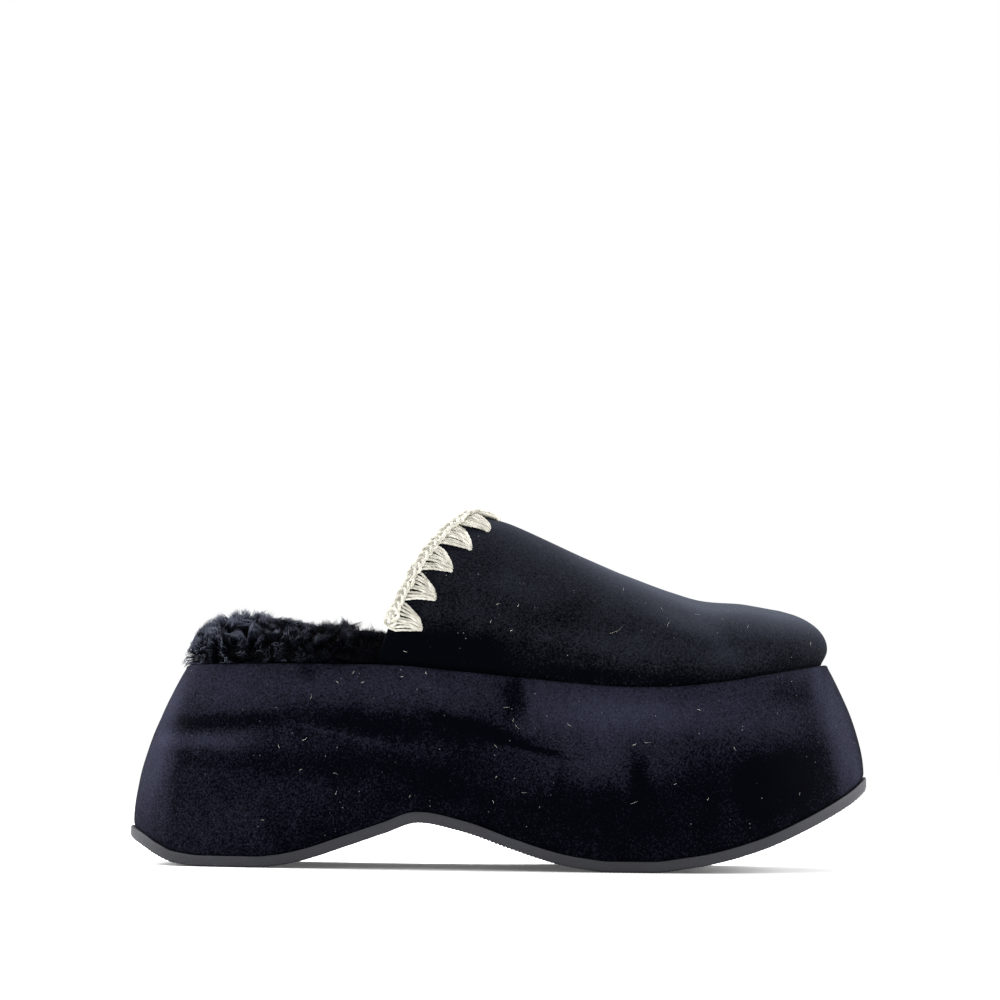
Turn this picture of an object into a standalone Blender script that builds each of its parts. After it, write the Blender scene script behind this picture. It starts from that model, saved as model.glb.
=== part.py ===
"""A platform mule slipper for the right foot, built as its maker would assemble it.

X runs from heel to toe, Y from the outer side of the foot to its inner side, Z up from the floor.
The origin is on the floor, in the middle of the outsole's length and breadth. Sizes are in metres.
A station is a cross line over the foot, given by an angle: 0 at the heel tip and pi at the toe tip.
Its place along the length is (1 - cos(angle)) / 2, which crowds the stations at the round ends.
"""

from collections import namedtuple
import math

import bmesh
import bpy
import numpy as np

MM = 0.001

# Clearance left between two pieces that touch
GAP = 0.3 * MM

# Footbed, the top face of the platform
FOOTBED_LENGTH = 254.2 * MM
FOOTBED_BREADTH = 92 * MM
PLATFORM_HEIGHT = 78 * MM

# Flare of the platform's walls from the footbed's edge down to the floor
HEEL_FLARE = 19.6 * MM
TOE_FLARE = 14.2 * MM
SIDE_FLARE = 9 * MM
TIP_FADE = 0.75
HEEL_BELLY = 1.8
TOE_BELLY = 1.7
EDGE_ROUNDING = 1.5 * MM

# Outsole
SOLE_THICKNESS = 4.2 * MM
SOLE_FLANGE = 1 * MM
SOLE_CHAMFER = 0.5 * MM
HEEL_LIFT = 10.5 * MM
ARCH_RISE = 17.8 * MM
TOE_SPRING = 32 * MM
STEEPEST_SLOPE = 0.8

# Upper
UPPER_WALL = 2.6 * MM
INSTEP_RISE = 62.8 * MM
HEEL_TO_COLLAR = 77 * MM
COLLAR_SLANT = 37 * MM
COLLAR_STRAIGHTNESS = 0.65
NOSE_LENGTH = 18 * MM
RIDGE_SHIFT = 2 * MM

# Fur footbed
FUR_DEPTH = 16 * MM
FUR_SETBACK = 2.5 * MM
FUR_SWELL = 2 * MM
FUR_DISH = 1.5 * MM
FUR_SIDE = 0.4
HEEL_ROLL = 13 * MM
TOE_ROLL = 3 * MM
SIDE_ROLL = 9 * MM
LOCK_LENGTH = 7.5 * MM
LOCK_RADIUS = 4.6 * MM
LOCK_ROOT = 2.5 * MM
LOCK_CURL = 0.5
LOCK_PITCH = 11 * MM
LOCK_CLEARANCE = 4 * MM
COVER_RUN = 14 * MM

# Crocheted collar edge
TRIM_START = 0.055
FAN_COUNT = 11
FAN_LENGTH = 9.6 * MM
FAN_ROOT = 1.6 * MM
FAN_BLUNTNESS = 0.24
FAN_THICKNESS = 0.9 * MM
STRAND_RELIEF = 0.2 * MM
CHAIN_WIDTH = 3.1 * MM
CHAIN_THICKNESS = 1.4 * MM
TRIM_TURN_IN = 2.5 * MM

# How finely the curved pieces are faceted
SOLE_STATIONS = 52
WALL_STEPS = 5
UPPER_STATIONS = 26
UPPER_STEPS = 24
FUR_STATIONS = 32
FUR_STEPS = 4
STATIONS_PER_FAN = 6

Plan = namedtuple("Plan", "along outer inner")
Bed = namedtuple("Bed", "along height")
Crown = namedtuple("Crown", "along rise fullness")
Wave = namedtuple("Wave", "along heel arch toe")
Pile = namedtuple("Pile", "along depth")

# Half breadths on each side of the heel's middle line, as shares of the breadth over the ball
PLAN = (
    Plan(0.00, 0.000, 0.000),
    Plan(0.06, 0.276, 0.272),
    Plan(0.18, 0.368, 0.362),
    Plan(0.42, 0.405, 0.312),
    Plan(0.56, 0.468, 0.385),
    Plan(0.67, 0.510, 0.462),
    Plan(0.75, 0.500, 0.490),
    Plan(0.85, 0.430, 0.470),
    Plan(0.94, 0.268, 0.368),
    Plan(1.00, -0.060, 0.060),
)

# Height of the footbed along its length, as shares of the platform's height
BED = (
    Bed(0.00, 1.000),
    Bed(0.18, 1.006),
    Bed(0.32, 1.003),
    Bed(0.41, 0.979),
    Bed(0.52, 0.946),
    Bed(0.60, 0.921),
    Bed(0.68, 0.905),
    Bed(0.74, 0.908),
    Bed(0.82, 0.934),
    Bed(0.90, 0.980),
    Bed(1.00, 1.040),
)

# Height of the upper's ridge over the footbed, as shares of the rise at the collar, and how full
# the arch of the upper is there: 0 is an ellipse
CROWN = (
    Crown(0.31, 1.130, 0.06),
    Crown(0.46, 1.000, 0.07),
    Crown(0.49, 0.980, 0.08),
    Crown(0.53, 0.932, 0.09),
    Crown(0.59, 0.845, 0.10),
    Crown(0.65, 0.758, 0.10),
    Crown(0.70, 0.686, 0.11),
    Crown(0.75, 0.607, 0.12),
    Crown(0.80, 0.532, 0.13),
    Crown(0.86, 0.481, 0.15),
    Crown(0.92, 0.398, 0.18),
    Crown(1.00, 0.288, 0.20),
)

# Lift of the sole's underside along its length, as shares of the heel lift, arch rise and toe spring
WAVE = (
    Wave(0.000, 1.000, 0.000, 0.000),
    Wave(0.018, 0.760, 0.000, 0.000),
    Wave(0.041, 0.400, 0.000, 0.000),
    Wave(0.065, 0.130, 0.000, 0.000),
    Wave(0.108, 0.000, 0.000, 0.000),
    Wave(0.180, 0.000, 0.000, 0.000),
    Wave(0.205, 0.000, 0.040, 0.000),
    Wave(0.237, 0.000, 0.145, 0.000),
    Wave(0.303, 0.000, 0.500, 0.000),
    Wave(0.350, 0.000, 0.770, 0.000),
    Wave(0.393, 0.000, 1.000, 0.000),
    Wave(0.450, 0.000, 0.820, 0.000),
    Wave(0.516, 0.000, 0.450, 0.000),
    Wave(0.581, 0.000, 0.140, 0.000),
    Wave(0.614, 0.000, 0.050, 0.000),
    Wave(0.642, 0.000, 0.000, 0.000),
    Wave(0.700, 0.000, 0.000, 0.000),
    Wave(0.745, 0.000, 0.000, 0.050),
    Wave(0.778, 0.000, 0.000, 0.100),
    Wave(0.843, 0.000, 0.000, 0.265),
    Wave(0.909, 0.000, 0.000, 0.520),
    Wave(0.975, 0.000, 0.000, 0.840),
    Wave(1.000, 0.000, 0.000, 1.000),
)

# Depth of the fur's body along the footbed, as shares of its depth at the heel
PILE = (
    Pile(0.00, 0.90),
    Pile(0.10, 1.00),
    Pile(0.17, 0.80),
    Pile(0.25, 0.67),
    Pile(0.32, 0.60),
    Pile(0.45, 0.50),
    Pile(0.70, 0.42),
    Pile(1.00, 0.38),
)

SOLE_LENGTH = FOOTBED_LENGTH + HEEL_FLARE + TOE_FLARE + 2 * SOLE_FLANGE
SOLE_START = -SOLE_LENGTH / 2
FOOTBED_START = SOLE_START + SOLE_FLANGE + HEEL_FLARE


def smooth(knots, values, at):
    """A curve through the rows of a table that never overshoots them and is flat between equal rows."""
    knots, values, at = (np.asarray(a, float) for a in (knots, values, at))
    step = np.diff(knots)
    rise = np.diff(values) / step
    one_way = rise[:-1] * rise[1:] > 0
    total = np.where(one_way, rise[:-1] + rise[1:], 1.0)
    inner = np.where(one_way, 2 * rise[:-1] * rise[1:] / total, 0.0)
    slope = np.concatenate([rise[:1], inner, rise[-1:]])
    row = np.clip(np.searchsorted(knots, at) - 1, 0, len(step) - 1)
    t = (at - knots[row]) / step[row]
    leave = slope[row] * step[row] * t * (1 - t) ** 2
    arrive = slope[row + 1] * step[row] * (t - 1) * t ** 2
    blend = t * t * (3 - 2 * t)
    return values[row] * (1 - blend) + values[row + 1] * blend + leave + arrive


def column(table, name):
    """One named column of a table."""
    return [getattr(row, name) for row in table]


def angle_at(share):
    """The station angle at a share of the length."""
    return np.arccos(1 - 2 * np.asarray(share, float))


def share_at(angle):
    """The share of the length at a station angle."""
    return (1 - np.cos(angle)) / 2


PLAN_ANGLES = angle_at(column(PLAN, "along"))


def half_breadths(angle, side_in):
    """Breadth on the outer and on the inner side of the middle line. A draw-in fades to the tips."""
    drawn = side_in * np.abs(np.sin(angle)) ** TIP_FADE
    outer = FOOTBED_BREADTH * smooth(PLAN_ANGLES, column(PLAN, "outer"), angle) - drawn
    inner = FOOTBED_BREADTH * smooth(PLAN_ANGLES, column(PLAN, "inner"), angle) - drawn
    return outer, inner


SOLE_HALVES = half_breadths(np.linspace(0, math.pi, 400), -SIDE_FLARE - SOLE_FLANGE)
MIDDLE = (SOLE_HALVES[0].max() - SOLE_HALVES[1].max()) / 2


def outline(angle, heel_in=0.0, toe_in=0.0, side_in=0.0):
    """The footbed's outline, drawn in at heel, toe and sides: x, y of the outer side, y of the inner."""
    length = FOOTBED_LENGTH - heel_in - toe_in
    x = FOOTBED_START + heel_in + length * share_at(angle)
    outer, inner = half_breadths(angle, side_in)
    return x, MIDDLE - outer, MIDDLE + inner


def bed_height(x):
    """Height of the platform's top face at x."""
    along = (x - FOOTBED_START) / FOOTBED_LENGTH
    return PLATFORM_HEIGHT * smooth(column(BED, "along"), column(BED, "height"), along)


def sole_under(x):
    """Height of the outsole's underside at x."""
    along = np.clip((x - SOLE_START) / SOLE_LENGTH, 0, 1)
    knots = column(WAVE, "along")
    heel = HEEL_LIFT * smooth(knots, column(WAVE, "heel"), along)
    arch = ARCH_RISE * smooth(knots, column(WAVE, "arch"), along)
    toe = TOE_SPRING * smooth(knots, column(WAVE, "toe"), along)
    return heel + arch + toe


def sole_top(x):
    """Height of the outsole's upper face at x: its thickness is measured square to the wave."""
    reach = 0.5 * MM
    slope = (sole_under(x + reach) - sole_under(x - reach)) / (2 * reach)
    return sole_under(x) + SOLE_THICKNESS * np.hypot(1, np.clip(slope, -STEEPEST_SLOPE, STEEPEST_SLOPE))


def section(x, y, z):
    """Points of one step of a section at every station, as an array of stations by 3."""
    return np.stack(np.broadcast_arrays(x, y, z), axis=-1)


def material(name, colour, roughness):
    """A plain finish for one piece."""
    made = bpy.data.materials.new(name)
    made.use_nodes = True
    shader = made.node_tree.nodes["Principled BSDF"]
    shader.inputs["Base Color"].default_value = (*colour, 1)
    shader.inputs["Roughness"].default_value = roughness
    shader.inputs["Metallic"].default_value = 0
    return made


def mesh_object(name, points, faces, finish, smooth_to=40):
    """An object from points and faces, with coinciding points made one."""
    mesh = bpy.data.meshes.new(name)
    mesh.from_pydata(points, [], faces)
    made = bpy.data.objects.new(name, mesh)
    bpy.context.scene.collection.objects.link(made)
    weld(mesh)
    mesh.materials.append(finish)
    mesh.shade_smooth()
    mesh.set_sharp_from_angle(angle=math.radians(smooth_to))
    return made


def weld(mesh):
    """Merges coinciding points and drops the faces that collapse."""
    work = bmesh.new()
    work.from_mesh(mesh)
    bmesh.ops.remove_doubles(work, verts=work.verts, dist=0.002 * MM)
    bmesh.ops.dissolve_degenerate(work, edges=work.edges, dist=0.002 * MM)
    bmesh.ops.recalc_face_normals(work, faces=work.faces)
    work.to_mesh(mesh)
    work.free()


def ring_faces(stations, steps):
    """Quads between successive closed loops of points, numbered station by station."""
    faces = []
    for i in range(stations - 1):
        for j in range(steps):
            after = (j + 1) % steps
            here, there = i * steps, (i + 1) * steps
            faces.append((here + j, here + after, there + after, there + j))
    return faces


def loft(name, steps, finish):
    """A closed solid through stations whose first and last loops are folded flat."""
    loops = np.stack(steps, axis=1)
    stations, count = loops.shape[:2]
    return mesh_object(name, loops.reshape(-1, 3), ring_faces(stations, count), finish)


def outsole():
    """Rubber sheet bent to the wave of the platform, standing proud of it all round."""
    angle = np.linspace(0, math.pi, SOLE_STATIONS + 1)
    edge = [HEEL_FLARE + SOLE_FLANGE, TOE_FLARE + SOLE_FLANGE, SIDE_FLARE + SOLE_FLANGE]
    x, outer, inner = outline(angle, *(-side for side in edge))
    x_in, outer_in, inner_in = outline(angle, *(SOLE_CHAMFER - side for side in edge))
    steps = [
        section(x_in, outer_in, sole_under(x_in)),
        section(x, outer, sole_under(x) + SOLE_CHAMFER),
        section(x, outer, sole_top(x)),
        section(x, inner, sole_top(x)),
        section(x, inner, sole_under(x) + SOLE_CHAMFER),
        section(x_in, inner_in, sole_under(x_in)),
    ]
    return loft("outsole", steps, material("grey_rubber", (0.055, 0.056, 0.062), 0.75))


def platform():
    """Foam midsole wrapped in microsuede: a belly-sided wall between the footbed and the wave."""
    angle = np.linspace(0, math.pi, SOLE_STATIONS + 1)
    belly = HEEL_BELLY + (TOE_BELLY - HEEL_BELLY) * share_at(angle)
    x_top = outline(angle)[0]
    x_foot = outline(angle, -HEEL_FLARE, -TOE_FLARE, -SIDE_FLARE)[0]
    z_top = bed_height(x_top) - EDGE_ROUNDING
    z_foot = sole_top(x_foot) + GAP
    outer_wall, inner_wall = [], []
    for down in np.linspace(1, 0, WALL_STEPS + 1):
        out = 1 - (1 - down) ** belly
        x, outer, inner = outline(angle, -HEEL_FLARE * out, -TOE_FLARE * out, -SIDE_FLARE * out)
        z = z_top + (z_foot - z_top) * down
        outer_wall.append(section(x, outer, z))
        inner_wall.append(section(x, inner, z))
    for turn in (math.pi / 4, math.pi / 2):
        back = EDGE_ROUNDING * (1 - math.cos(turn))
        x, outer, inner = outline(angle, back, back, back)
        z = bed_height(x) - EDGE_ROUNDING * (1 - math.sin(turn))
        outer_wall.append(section(x, outer, z))
        inner_wall.append(section(x, inner, z))
    finish = material("black_microsuede_wrap", (0.012, 0.012, 0.018), 0.95)
    return loft("platform", outer_wall + inner_wall[::-1], finish)


UPPER_INSET = EDGE_ROUNDING
UPPER_HEEL, UPPER_TOE = outline(np.array([0, math.pi]), *[UPPER_INSET] * 3)[0]
COLLAR_FOOT = FOOTBED_START + HEEL_TO_COLLAR
COLLAR_ANGLE = float(angle_at((COLLAR_FOOT - UPPER_HEEL) / (UPPER_TOE - UPPER_HEEL)))


def ridge_height(x):
    """Height of the upper's outer face along its ridge at x."""
    along = (x - FOOTBED_START) / FOOTBED_LENGTH
    rise = smooth(column(CROWN, "along"), column(CROWN, "rise"), along)
    return bed_height(x) + INSTEP_RISE * rise


def upper_face(forward, around):
    """A point of the upper's outer face.

    forward runs from 0 on the collar's edge to 1 on the toe's middle line, and around from 0 on the
    outer feather line over the ridge at 0.5 to 1 on the inner feather line. The arch's climb is a
    quarter turn each side: its height follows the sine, its breadth the cosine made fuller. The arch
    leans back from its ridge to its foot at the collar, and rounds down over the nose at the toe.
    """
    angle = COLLAR_ANGLE + forward * (math.pi - COLLAR_ANGLE)
    x_foot, outer, inner = outline(angle, *[UPPER_INSET] * 3)
    climb = math.pi * np.minimum(around, 1 - around)
    share = (x_foot - COLLAR_FOOT) / (UPPER_TOE - COLLAR_FOOT)
    x_ridge = COLLAR_FOOT + COLLAR_SLANT
    x_ridge = x_ridge + share * (UPPER_TOE - NOSE_LENGTH - x_ridge)
    along = (x_foot - FOOTBED_START) / FOOTBED_LENGTH
    full = smooth(column(CROWN, "along"), column(CROWN, "fullness"), along)
    reach = np.cos(climb) + full * np.sin(2 * climb)
    slant = COLLAR_STRAIGHTNESS * np.sin(climb) + (1 - COLLAR_STRAIGHTNESS) * np.sin(climb) ** 3
    lean = (1 - share) * slant + share * (1 - reach)
    x = x_foot + (x_ridge - x_foot) * lean
    y_ridge = (outer + inner) / 2 + RIDGE_SHIFT * (1 - share)
    side = np.where(around < 0.5, outer, inner)
    y = y_ridge + (side - y_ridge) * reach
    z_foot = bed_height(x_foot) + GAP
    z = z_foot + (ridge_height(x) - z_foot) * np.sin(climb)
    return section(x, y, z)


def upper_normal(forward, around):
    """The outward direction square to the upper's outer face, taken just short of the toe's fold."""
    step = 1e-4
    forward = np.minimum(forward, 1 - 10 * step)
    ahead = upper_face(forward + step, around) - upper_face(forward - step, around)
    over = upper_face(forward, around + step) - upper_face(forward, around - step)
    out = np.cross(ahead, over)
    return out / np.linalg.norm(out, axis=-1, keepdims=True)


def upper():
    """One hollow vamp of microsuede and lining, open at the collar and underneath."""
    forward, around = np.meshgrid(
        np.linspace(0, 1, UPPER_STATIONS + 1), np.linspace(0, 1, UPPER_STEPS + 1), indexing="ij"
    )
    outside = upper_face(forward, around)
    inside = outside - UPPER_WALL * upper_normal(forward, around)
    inside[-1, :, 1] = outside[-1, :, 1]
    for foot in (0, -1):
        inside[:, foot, 2] = bed_height(inside[:, foot, 0]) + GAP
    loops = np.concatenate([outside, inside[:, ::-1]], axis=1)
    stations, count = loops.shape[:2]
    half = UPPER_STEPS + 1
    collar = [(j, count - 1 - j, count - 2 - j, j + 1) for j in range(half - 1)]
    faces = ring_faces(stations, count) + collar
    finish = material("black_microsuede", (0.010, 0.010, 0.015), 0.95)
    return mesh_object("upper", loops.reshape(-1, 3), faces, finish)


def fur_face(angle, across):
    """A point of the fur's body, from -1 at its outer foot over 0 on its middle line to 1.

    Behind the collar the pile swells towards the platform's edge, and inside the upper it stands
    clear of the wall. The side of the body is a quarter turn whose radius is largest round the heel,
    and its top is dished where the foot has pressed it.
    """
    out = np.abs(across)
    up = np.sin(math.pi / 2 * np.clip((1 - out) / FUR_SIDE, 0, 1))
    roll = 1 - np.sqrt(1 - up * up)
    swell = FUR_SETBACK - FUR_SWELL * np.sin(math.pi * up)
    heel = swell + HEEL_ROLL * roll
    hidden = UPPER_INSET + UPPER_WALL + 3 * GAP + TOE_ROLL * roll
    x = outline(angle, heel, hidden)[0]
    covered = np.clip((x - COLLAR_FOOT) / COVER_RUN + 1.2, 0, 1)
    covered = covered * covered * (3 - 2 * covered)
    side = swell + SIDE_ROLL * roll
    side = side + (hidden - side) * covered
    x, outer, inner = outline(angle, heel, hidden, side)
    middle = (outer + inner) / 2
    spread = np.clip(out / (1 - FUR_SIDE), 0, 1)
    y = middle + (np.where(across < 0, outer, inner) - middle) * spread
    depth = FUR_DEPTH * smooth(column(PILE, "along"), column(PILE, "depth"), share_at(angle))
    z = bed_height(x) + GAP + depth * up - FUR_DISH * np.sin(angle) * (1 - spread)
    return section(x, y, z)


def lock(root, out, curl, length, radius):
    """Points and faces of one lock of fur: a horn whose root is sunk in and whose tip curls over."""
    sides, rings = 6, (0, 0.5, 0.85)
    across = np.cross(out, curl)
    points = []
    for t in rings:
        centre = root + out * (length * t - LOCK_ROOT) + curl * length * LOCK_CURL * t * t
        lie = out * math.cos(t) + curl * math.sin(t)
        flat = np.cross(across, lie)
        for side in range(sides):
            turn = 2 * math.pi * side / sides
            swell = radius * math.sqrt(1 - t * t)
            points.append(centre + swell * (math.cos(turn) * across + math.sin(turn) * flat))
    points.append(root + out * (length - LOCK_ROOT) + curl * length * LOCK_CURL)
    first, tip = (len(rings) - 1) * sides, len(rings) * sides
    faces = ring_faces(len(rings), sides)
    faces += [(first + side, first + (side + 1) % sides, tip) for side in range(sides)]
    faces.append(tuple(reversed(range(sides))))
    return points, faces


def lock_places(rng):
    """Root, outward direction and curl of each lock: rows over the open fur, a pitch apart."""
    open_end = COLLAR_FOOT + 2 * LOCK_PITCH
    x_first = FOOTBED_START + 0.3 * LOCK_PITCH
    rows = np.arange(x_first, open_end, 0.85 * LOCK_PITCH)
    for number, x in enumerate(rows):
        angle = angle_at((x - FOOTBED_START) / FOOTBED_LENGTH)
        fine = np.linspace(-0.93, 0.93, 200)
        line = fur_face(angle, fine)
        length = np.concatenate([[0], np.cumsum(np.linalg.norm(np.diff(line, axis=0), axis=1))])
        count = max(2, round(length[-1] / LOCK_PITCH))
        shift = 0.25 if number % 2 else -0.25
        for k in range(count + 1):
            at = np.interp((k + shift + rng.uniform(-0.2, 0.2)) / count * length[-1], length, fine)
            step = 1e-4
            spot = angle + rng.uniform(-0.03, 0.03)
            root = fur_face(spot, at)
            over = fur_face(spot, at + step) - fur_face(spot, at - step)
            ahead = fur_face(spot + step, at) - fur_face(spot - step, at)
            out = np.cross(ahead, over)
            out /= np.linalg.norm(out)
            tangent = ahead / np.linalg.norm(ahead)
            turn = rng.uniform(0, 2 * math.pi)
            curl = math.cos(turn) * tangent + math.sin(turn) * np.cross(out, tangent)
            yield root, out, curl


def fur_footbed():
    """Insole with a deep pile: a rolled body with locks of fur fused on where the heel is open."""
    side = np.linspace(1, 1 - FUR_SIDE, FUR_STEPS + 1)
    across = np.concatenate([-side, [-0.3, 0, 0.3], side[::-1]])
    angle = np.linspace(0, math.pi, FUR_STATIONS + 1)
    finish = material("black_fur", (0.010, 0.010, 0.012), 1.0)
    body = loft("fur_footbed", [fur_face(angle, a) for a in across], finish)
    rng = np.random.default_rng(12)
    locks = bpy.data.collections.new("locks")
    bpy.context.scene.collection.children.link(locks)
    for number, (root, out, curl) in enumerate(lock_places(rng)):
        length = LOCK_LENGTH * rng.uniform(0.85, 1.15)
        points, faces = lock(root, out, curl, length, LOCK_RADIUS * rng.uniform(0.85, 1.15))
        x, y, z = np.array(points).T
        beside = outline(angle_at(np.clip((x - FOOTBED_START) / FOOTBED_LENGTH, 0, 1)))
        spare = np.minimum(y - beside[1], beside[2] - y)
        under = x > COLLAR_FOOT - LOCK_CLEARANCE
        if (z < bed_height(x) + GAP).any() or (spare < UPPER_WALL + LOCK_CLEARANCE)[under].any():
            continue
        mesh = bpy.data.meshes.new("lock")
        mesh.from_pydata(points, [], faces)
        mesh.materials.append(finish)
        made = bpy.data.objects.new(f"lock_{number:03d}", mesh)
        made.hide_render = True
        made.display_type = "WIRE"
        locks.objects.link(made)
    fuse = body.modifiers.new("locks", "BOOLEAN")
    fuse.operation = "UNION"
    fuse.operand_type = "COLLECTION"
    fuse.collection = locks
    fuse.solver = "EXACT"
    return body


def collar_point(around, back, out):
    """A point beside the collar's edge: back along the upper's face, square to the edge, and out of it."""
    step = 1e-4
    ahead = (upper_face(step, around) - upper_face(-step, around)) / (2 * step)
    edge = (upper_face(0.0, around + step) - upper_face(0.0, around - step)) / (2 * step)
    drift = (ahead * edge).sum(-1) / (edge * edge).sum(-1)
    pace = np.linalg.norm(ahead - drift[..., None] * edge, axis=-1)
    forward, beside = back / pace, around - back * drift / pace
    return upper_face(forward, beside) + np.asarray(out)[..., None] * upper_normal(forward, beside)


def collar_trim():
    """Crochet worked over the collar's edge: a chain on the edge, fans forward and a turn-in behind."""
    fine = np.linspace(TRIM_START, 1 - TRIM_START, 800)
    run = np.linalg.norm(np.diff(upper_face(0.0, fine), axis=0), axis=1)
    run = np.concatenate([[0], np.cumsum(run)])
    stations = FAN_COUNT * STATIONS_PER_FAN + 1
    number = np.arange(stations)
    around = np.interp(number / (stations - 1) * run[-1], run, fine)
    phase = number % STATIONS_PER_FAN / STATIONS_PER_FAN
    rise = np.clip((1 - np.abs(2 * phase - 1)) / (1 - FAN_BLUNTNESS), 0, 1)
    length = FAN_ROOT + (FAN_LENGTH - FAN_ROOT) * rise
    ridge = np.where(number % 2, 1, -1)
    thick = FAN_THICKNESS + STRAND_RELIEF * ridge
    bead = CHAIN_WIDTH * (1 + 0.15 * ridge)
    inner = -UPPER_WALL - GAP
    near = [(length, GAP), (0.6 * length, GAP), (0.25 * length, GAP), (-GAP, GAP)]
    near += [(-GAP, inner / 2), (-GAP, inner), (TRIM_TURN_IN, inner)]
    far = [(length, GAP + 0.5 * thick), (0.6 * length, GAP + thick), (0.25 * length, GAP + thick)]
    far += [(-GAP - 0.4 * bead, GAP + CHAIN_THICKNESS), (-GAP - bead, inner / 2)]
    far += [(-GAP - 0.5 * bead, inner - FAN_THICKNESS), (TRIM_TURN_IN, inner - 0.5 * FAN_THICKNESS)]
    loops = []
    for back, out in near + far[::-1]:
        loops.append(collar_point(around, back + 0 * around, out + 0 * around))
    loops = np.stack(loops, axis=1)
    count = loops.shape[1]
    last = (stations - 1) * count
    faces = ring_faces(stations, count)
    for k in range(len(near) - 1):
        cap = (k, k + 1, count - 2 - k, count - 1 - k)
        faces.append(cap[::-1])
        faces.append(tuple(last + point for point in cap))
    finish = material("cream_yarn", (0.62, 0.57, 0.47), 0.9)
    return mesh_object("collar_trim", loops.reshape(-1, 3), faces, finish)


for old in list(bpy.data.objects):
    bpy.data.objects.remove(old)

outsole()
platform()
upper()
fur_footbed()
collar_trim()
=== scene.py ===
"""A black platform mule slipper for the right foot: waved outsole, wrapped platform, curly fur
footbed, microsuede upper and a crocheted collar edge in cream yarn.

X runs from heel to toe, Y from the outer side of the foot to its inner side, Z up. Metres.
"""

import math

import bmesh
import bpy
import numpy as np
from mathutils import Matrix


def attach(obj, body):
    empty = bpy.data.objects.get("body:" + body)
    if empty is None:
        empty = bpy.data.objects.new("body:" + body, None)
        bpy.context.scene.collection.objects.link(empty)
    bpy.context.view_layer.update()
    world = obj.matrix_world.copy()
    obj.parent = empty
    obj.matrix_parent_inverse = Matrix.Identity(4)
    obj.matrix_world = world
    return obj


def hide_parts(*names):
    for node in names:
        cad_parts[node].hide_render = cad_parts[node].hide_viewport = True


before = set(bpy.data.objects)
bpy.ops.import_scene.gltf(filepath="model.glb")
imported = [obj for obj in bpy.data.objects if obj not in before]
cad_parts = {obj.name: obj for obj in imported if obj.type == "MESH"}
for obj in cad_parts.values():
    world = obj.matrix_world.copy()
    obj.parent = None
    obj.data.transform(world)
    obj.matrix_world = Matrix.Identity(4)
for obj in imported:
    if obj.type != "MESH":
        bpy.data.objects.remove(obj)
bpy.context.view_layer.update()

# Outsole
# A rubber sheet about 4 mm thick, moulded to the wave of the platform and glued under it.
# Its edge stands about 1 mm proud all round, and fine tread ribs run across its underside.

MM = 0.001
FOOTBED_LENGTH = 254.2 * MM
FOOTBED_BREADTH = 92 * MM
HEEL_FLARE = 19.6 * MM
TOE_FLARE = 14.2 * MM
SIDE_FLARE = 9 * MM
TIP_FADE = 0.75
SOLE_THICKNESS = 4.2 * MM
SOLE_FLANGE = 1 * MM
HEEL_LIFT = 10.5 * MM
ARCH_RISE = 17.8 * MM
TOE_SPRING = 32 * MM
SOLE_LENGTH = FOOTBED_LENGTH + HEEL_FLARE + TOE_FLARE + 2 * SOLE_FLANGE
SOLE_START = -SOLE_LENGTH / 2
FOOTBED_START = SOLE_START + SOLE_FLANGE + HEEL_FLARE
RIB_PITCH = 1.6 * MM
RIB_DEPTH = 0.5 * MM
LIP_ROUNDING = 0.35 * MM
WELD_DISTANCE = 0.0008 * MM

# Half breadths beside the heel's middle line, as shares of the breadth over the ball
PLAN_ALONG = (0, 0.06, 0.18, 0.42, 0.56, 0.67, 0.75, 0.85, 0.94, 1)
PLAN_OUTER = (0, 0.276, 0.368, 0.405, 0.468, 0.510, 0.500, 0.430, 0.268, -0.060)
PLAN_INNER = (0, 0.272, 0.362, 0.312, 0.385, 0.462, 0.490, 0.470, 0.368, 0.060)

# Lift of the underside along its length: heel lift, arch rise and toe spring
HEEL_WAVE = ((0, 0.018, 0.041, 0.065, 0.108, 1), (1, 0.76, 0.40, 0.13, 0, 0))
ARCH_WAVE = (
    (0, 0.180, 0.205, 0.237, 0.303, 0.350, 0.393, 0.450, 0.516, 0.581, 0.614, 0.642, 1),
    (0, 0, 0.040, 0.145, 0.500, 0.770, 1, 0.820, 0.450, 0.140, 0.050, 0, 0),
)
TOE_WAVE = (
    (0, 0.700, 0.745, 0.778, 0.843, 0.909, 0.975, 1),
    (0, 0, 0.050, 0.100, 0.265, 0.520, 0.840, 1),
)


def smooth(knots, values, at):
    """A cubic through each pair of table rows. Its slope at a row is the harmonic mean of the slopes
    beside it, and zero where they differ in sign, so it never overshoots."""
    knots, values, at = (np.asarray(a, float) for a in (knots, values, at))
    step = np.diff(knots)
    rise = np.diff(values) / step
    one_way = rise[:-1] * rise[1:] > 0
    total = np.where(one_way, rise[:-1] + rise[1:], 1.0)
    inner = np.where(one_way, 2 * rise[:-1] * rise[1:] / total, 0.0)
    slope = np.concatenate([rise[:1], inner, rise[-1:]])
    row = np.clip(np.searchsorted(knots, at) - 1, 0, len(step) - 1)
    t = (at - knots[row]) / step[row]
    leave = slope[row] * step[row] * t * (1 - t) ** 2
    arrive = slope[row + 1] * step[row] * (t - 1) * t**2
    blend = t * t * (3 - 2 * t)
    return values[row] * (1 - blend) + values[row + 1] * blend + leave + arrive


def angle_at(share):
    """The station angle at a share of the length: the share is (1 - cosine of the angle) / 2."""
    return np.arccos(1 - 2 * np.asarray(share, float))


def share_at(angle):
    """The share of the length at a station angle."""
    return (1 - np.cos(angle)) / 2


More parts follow.
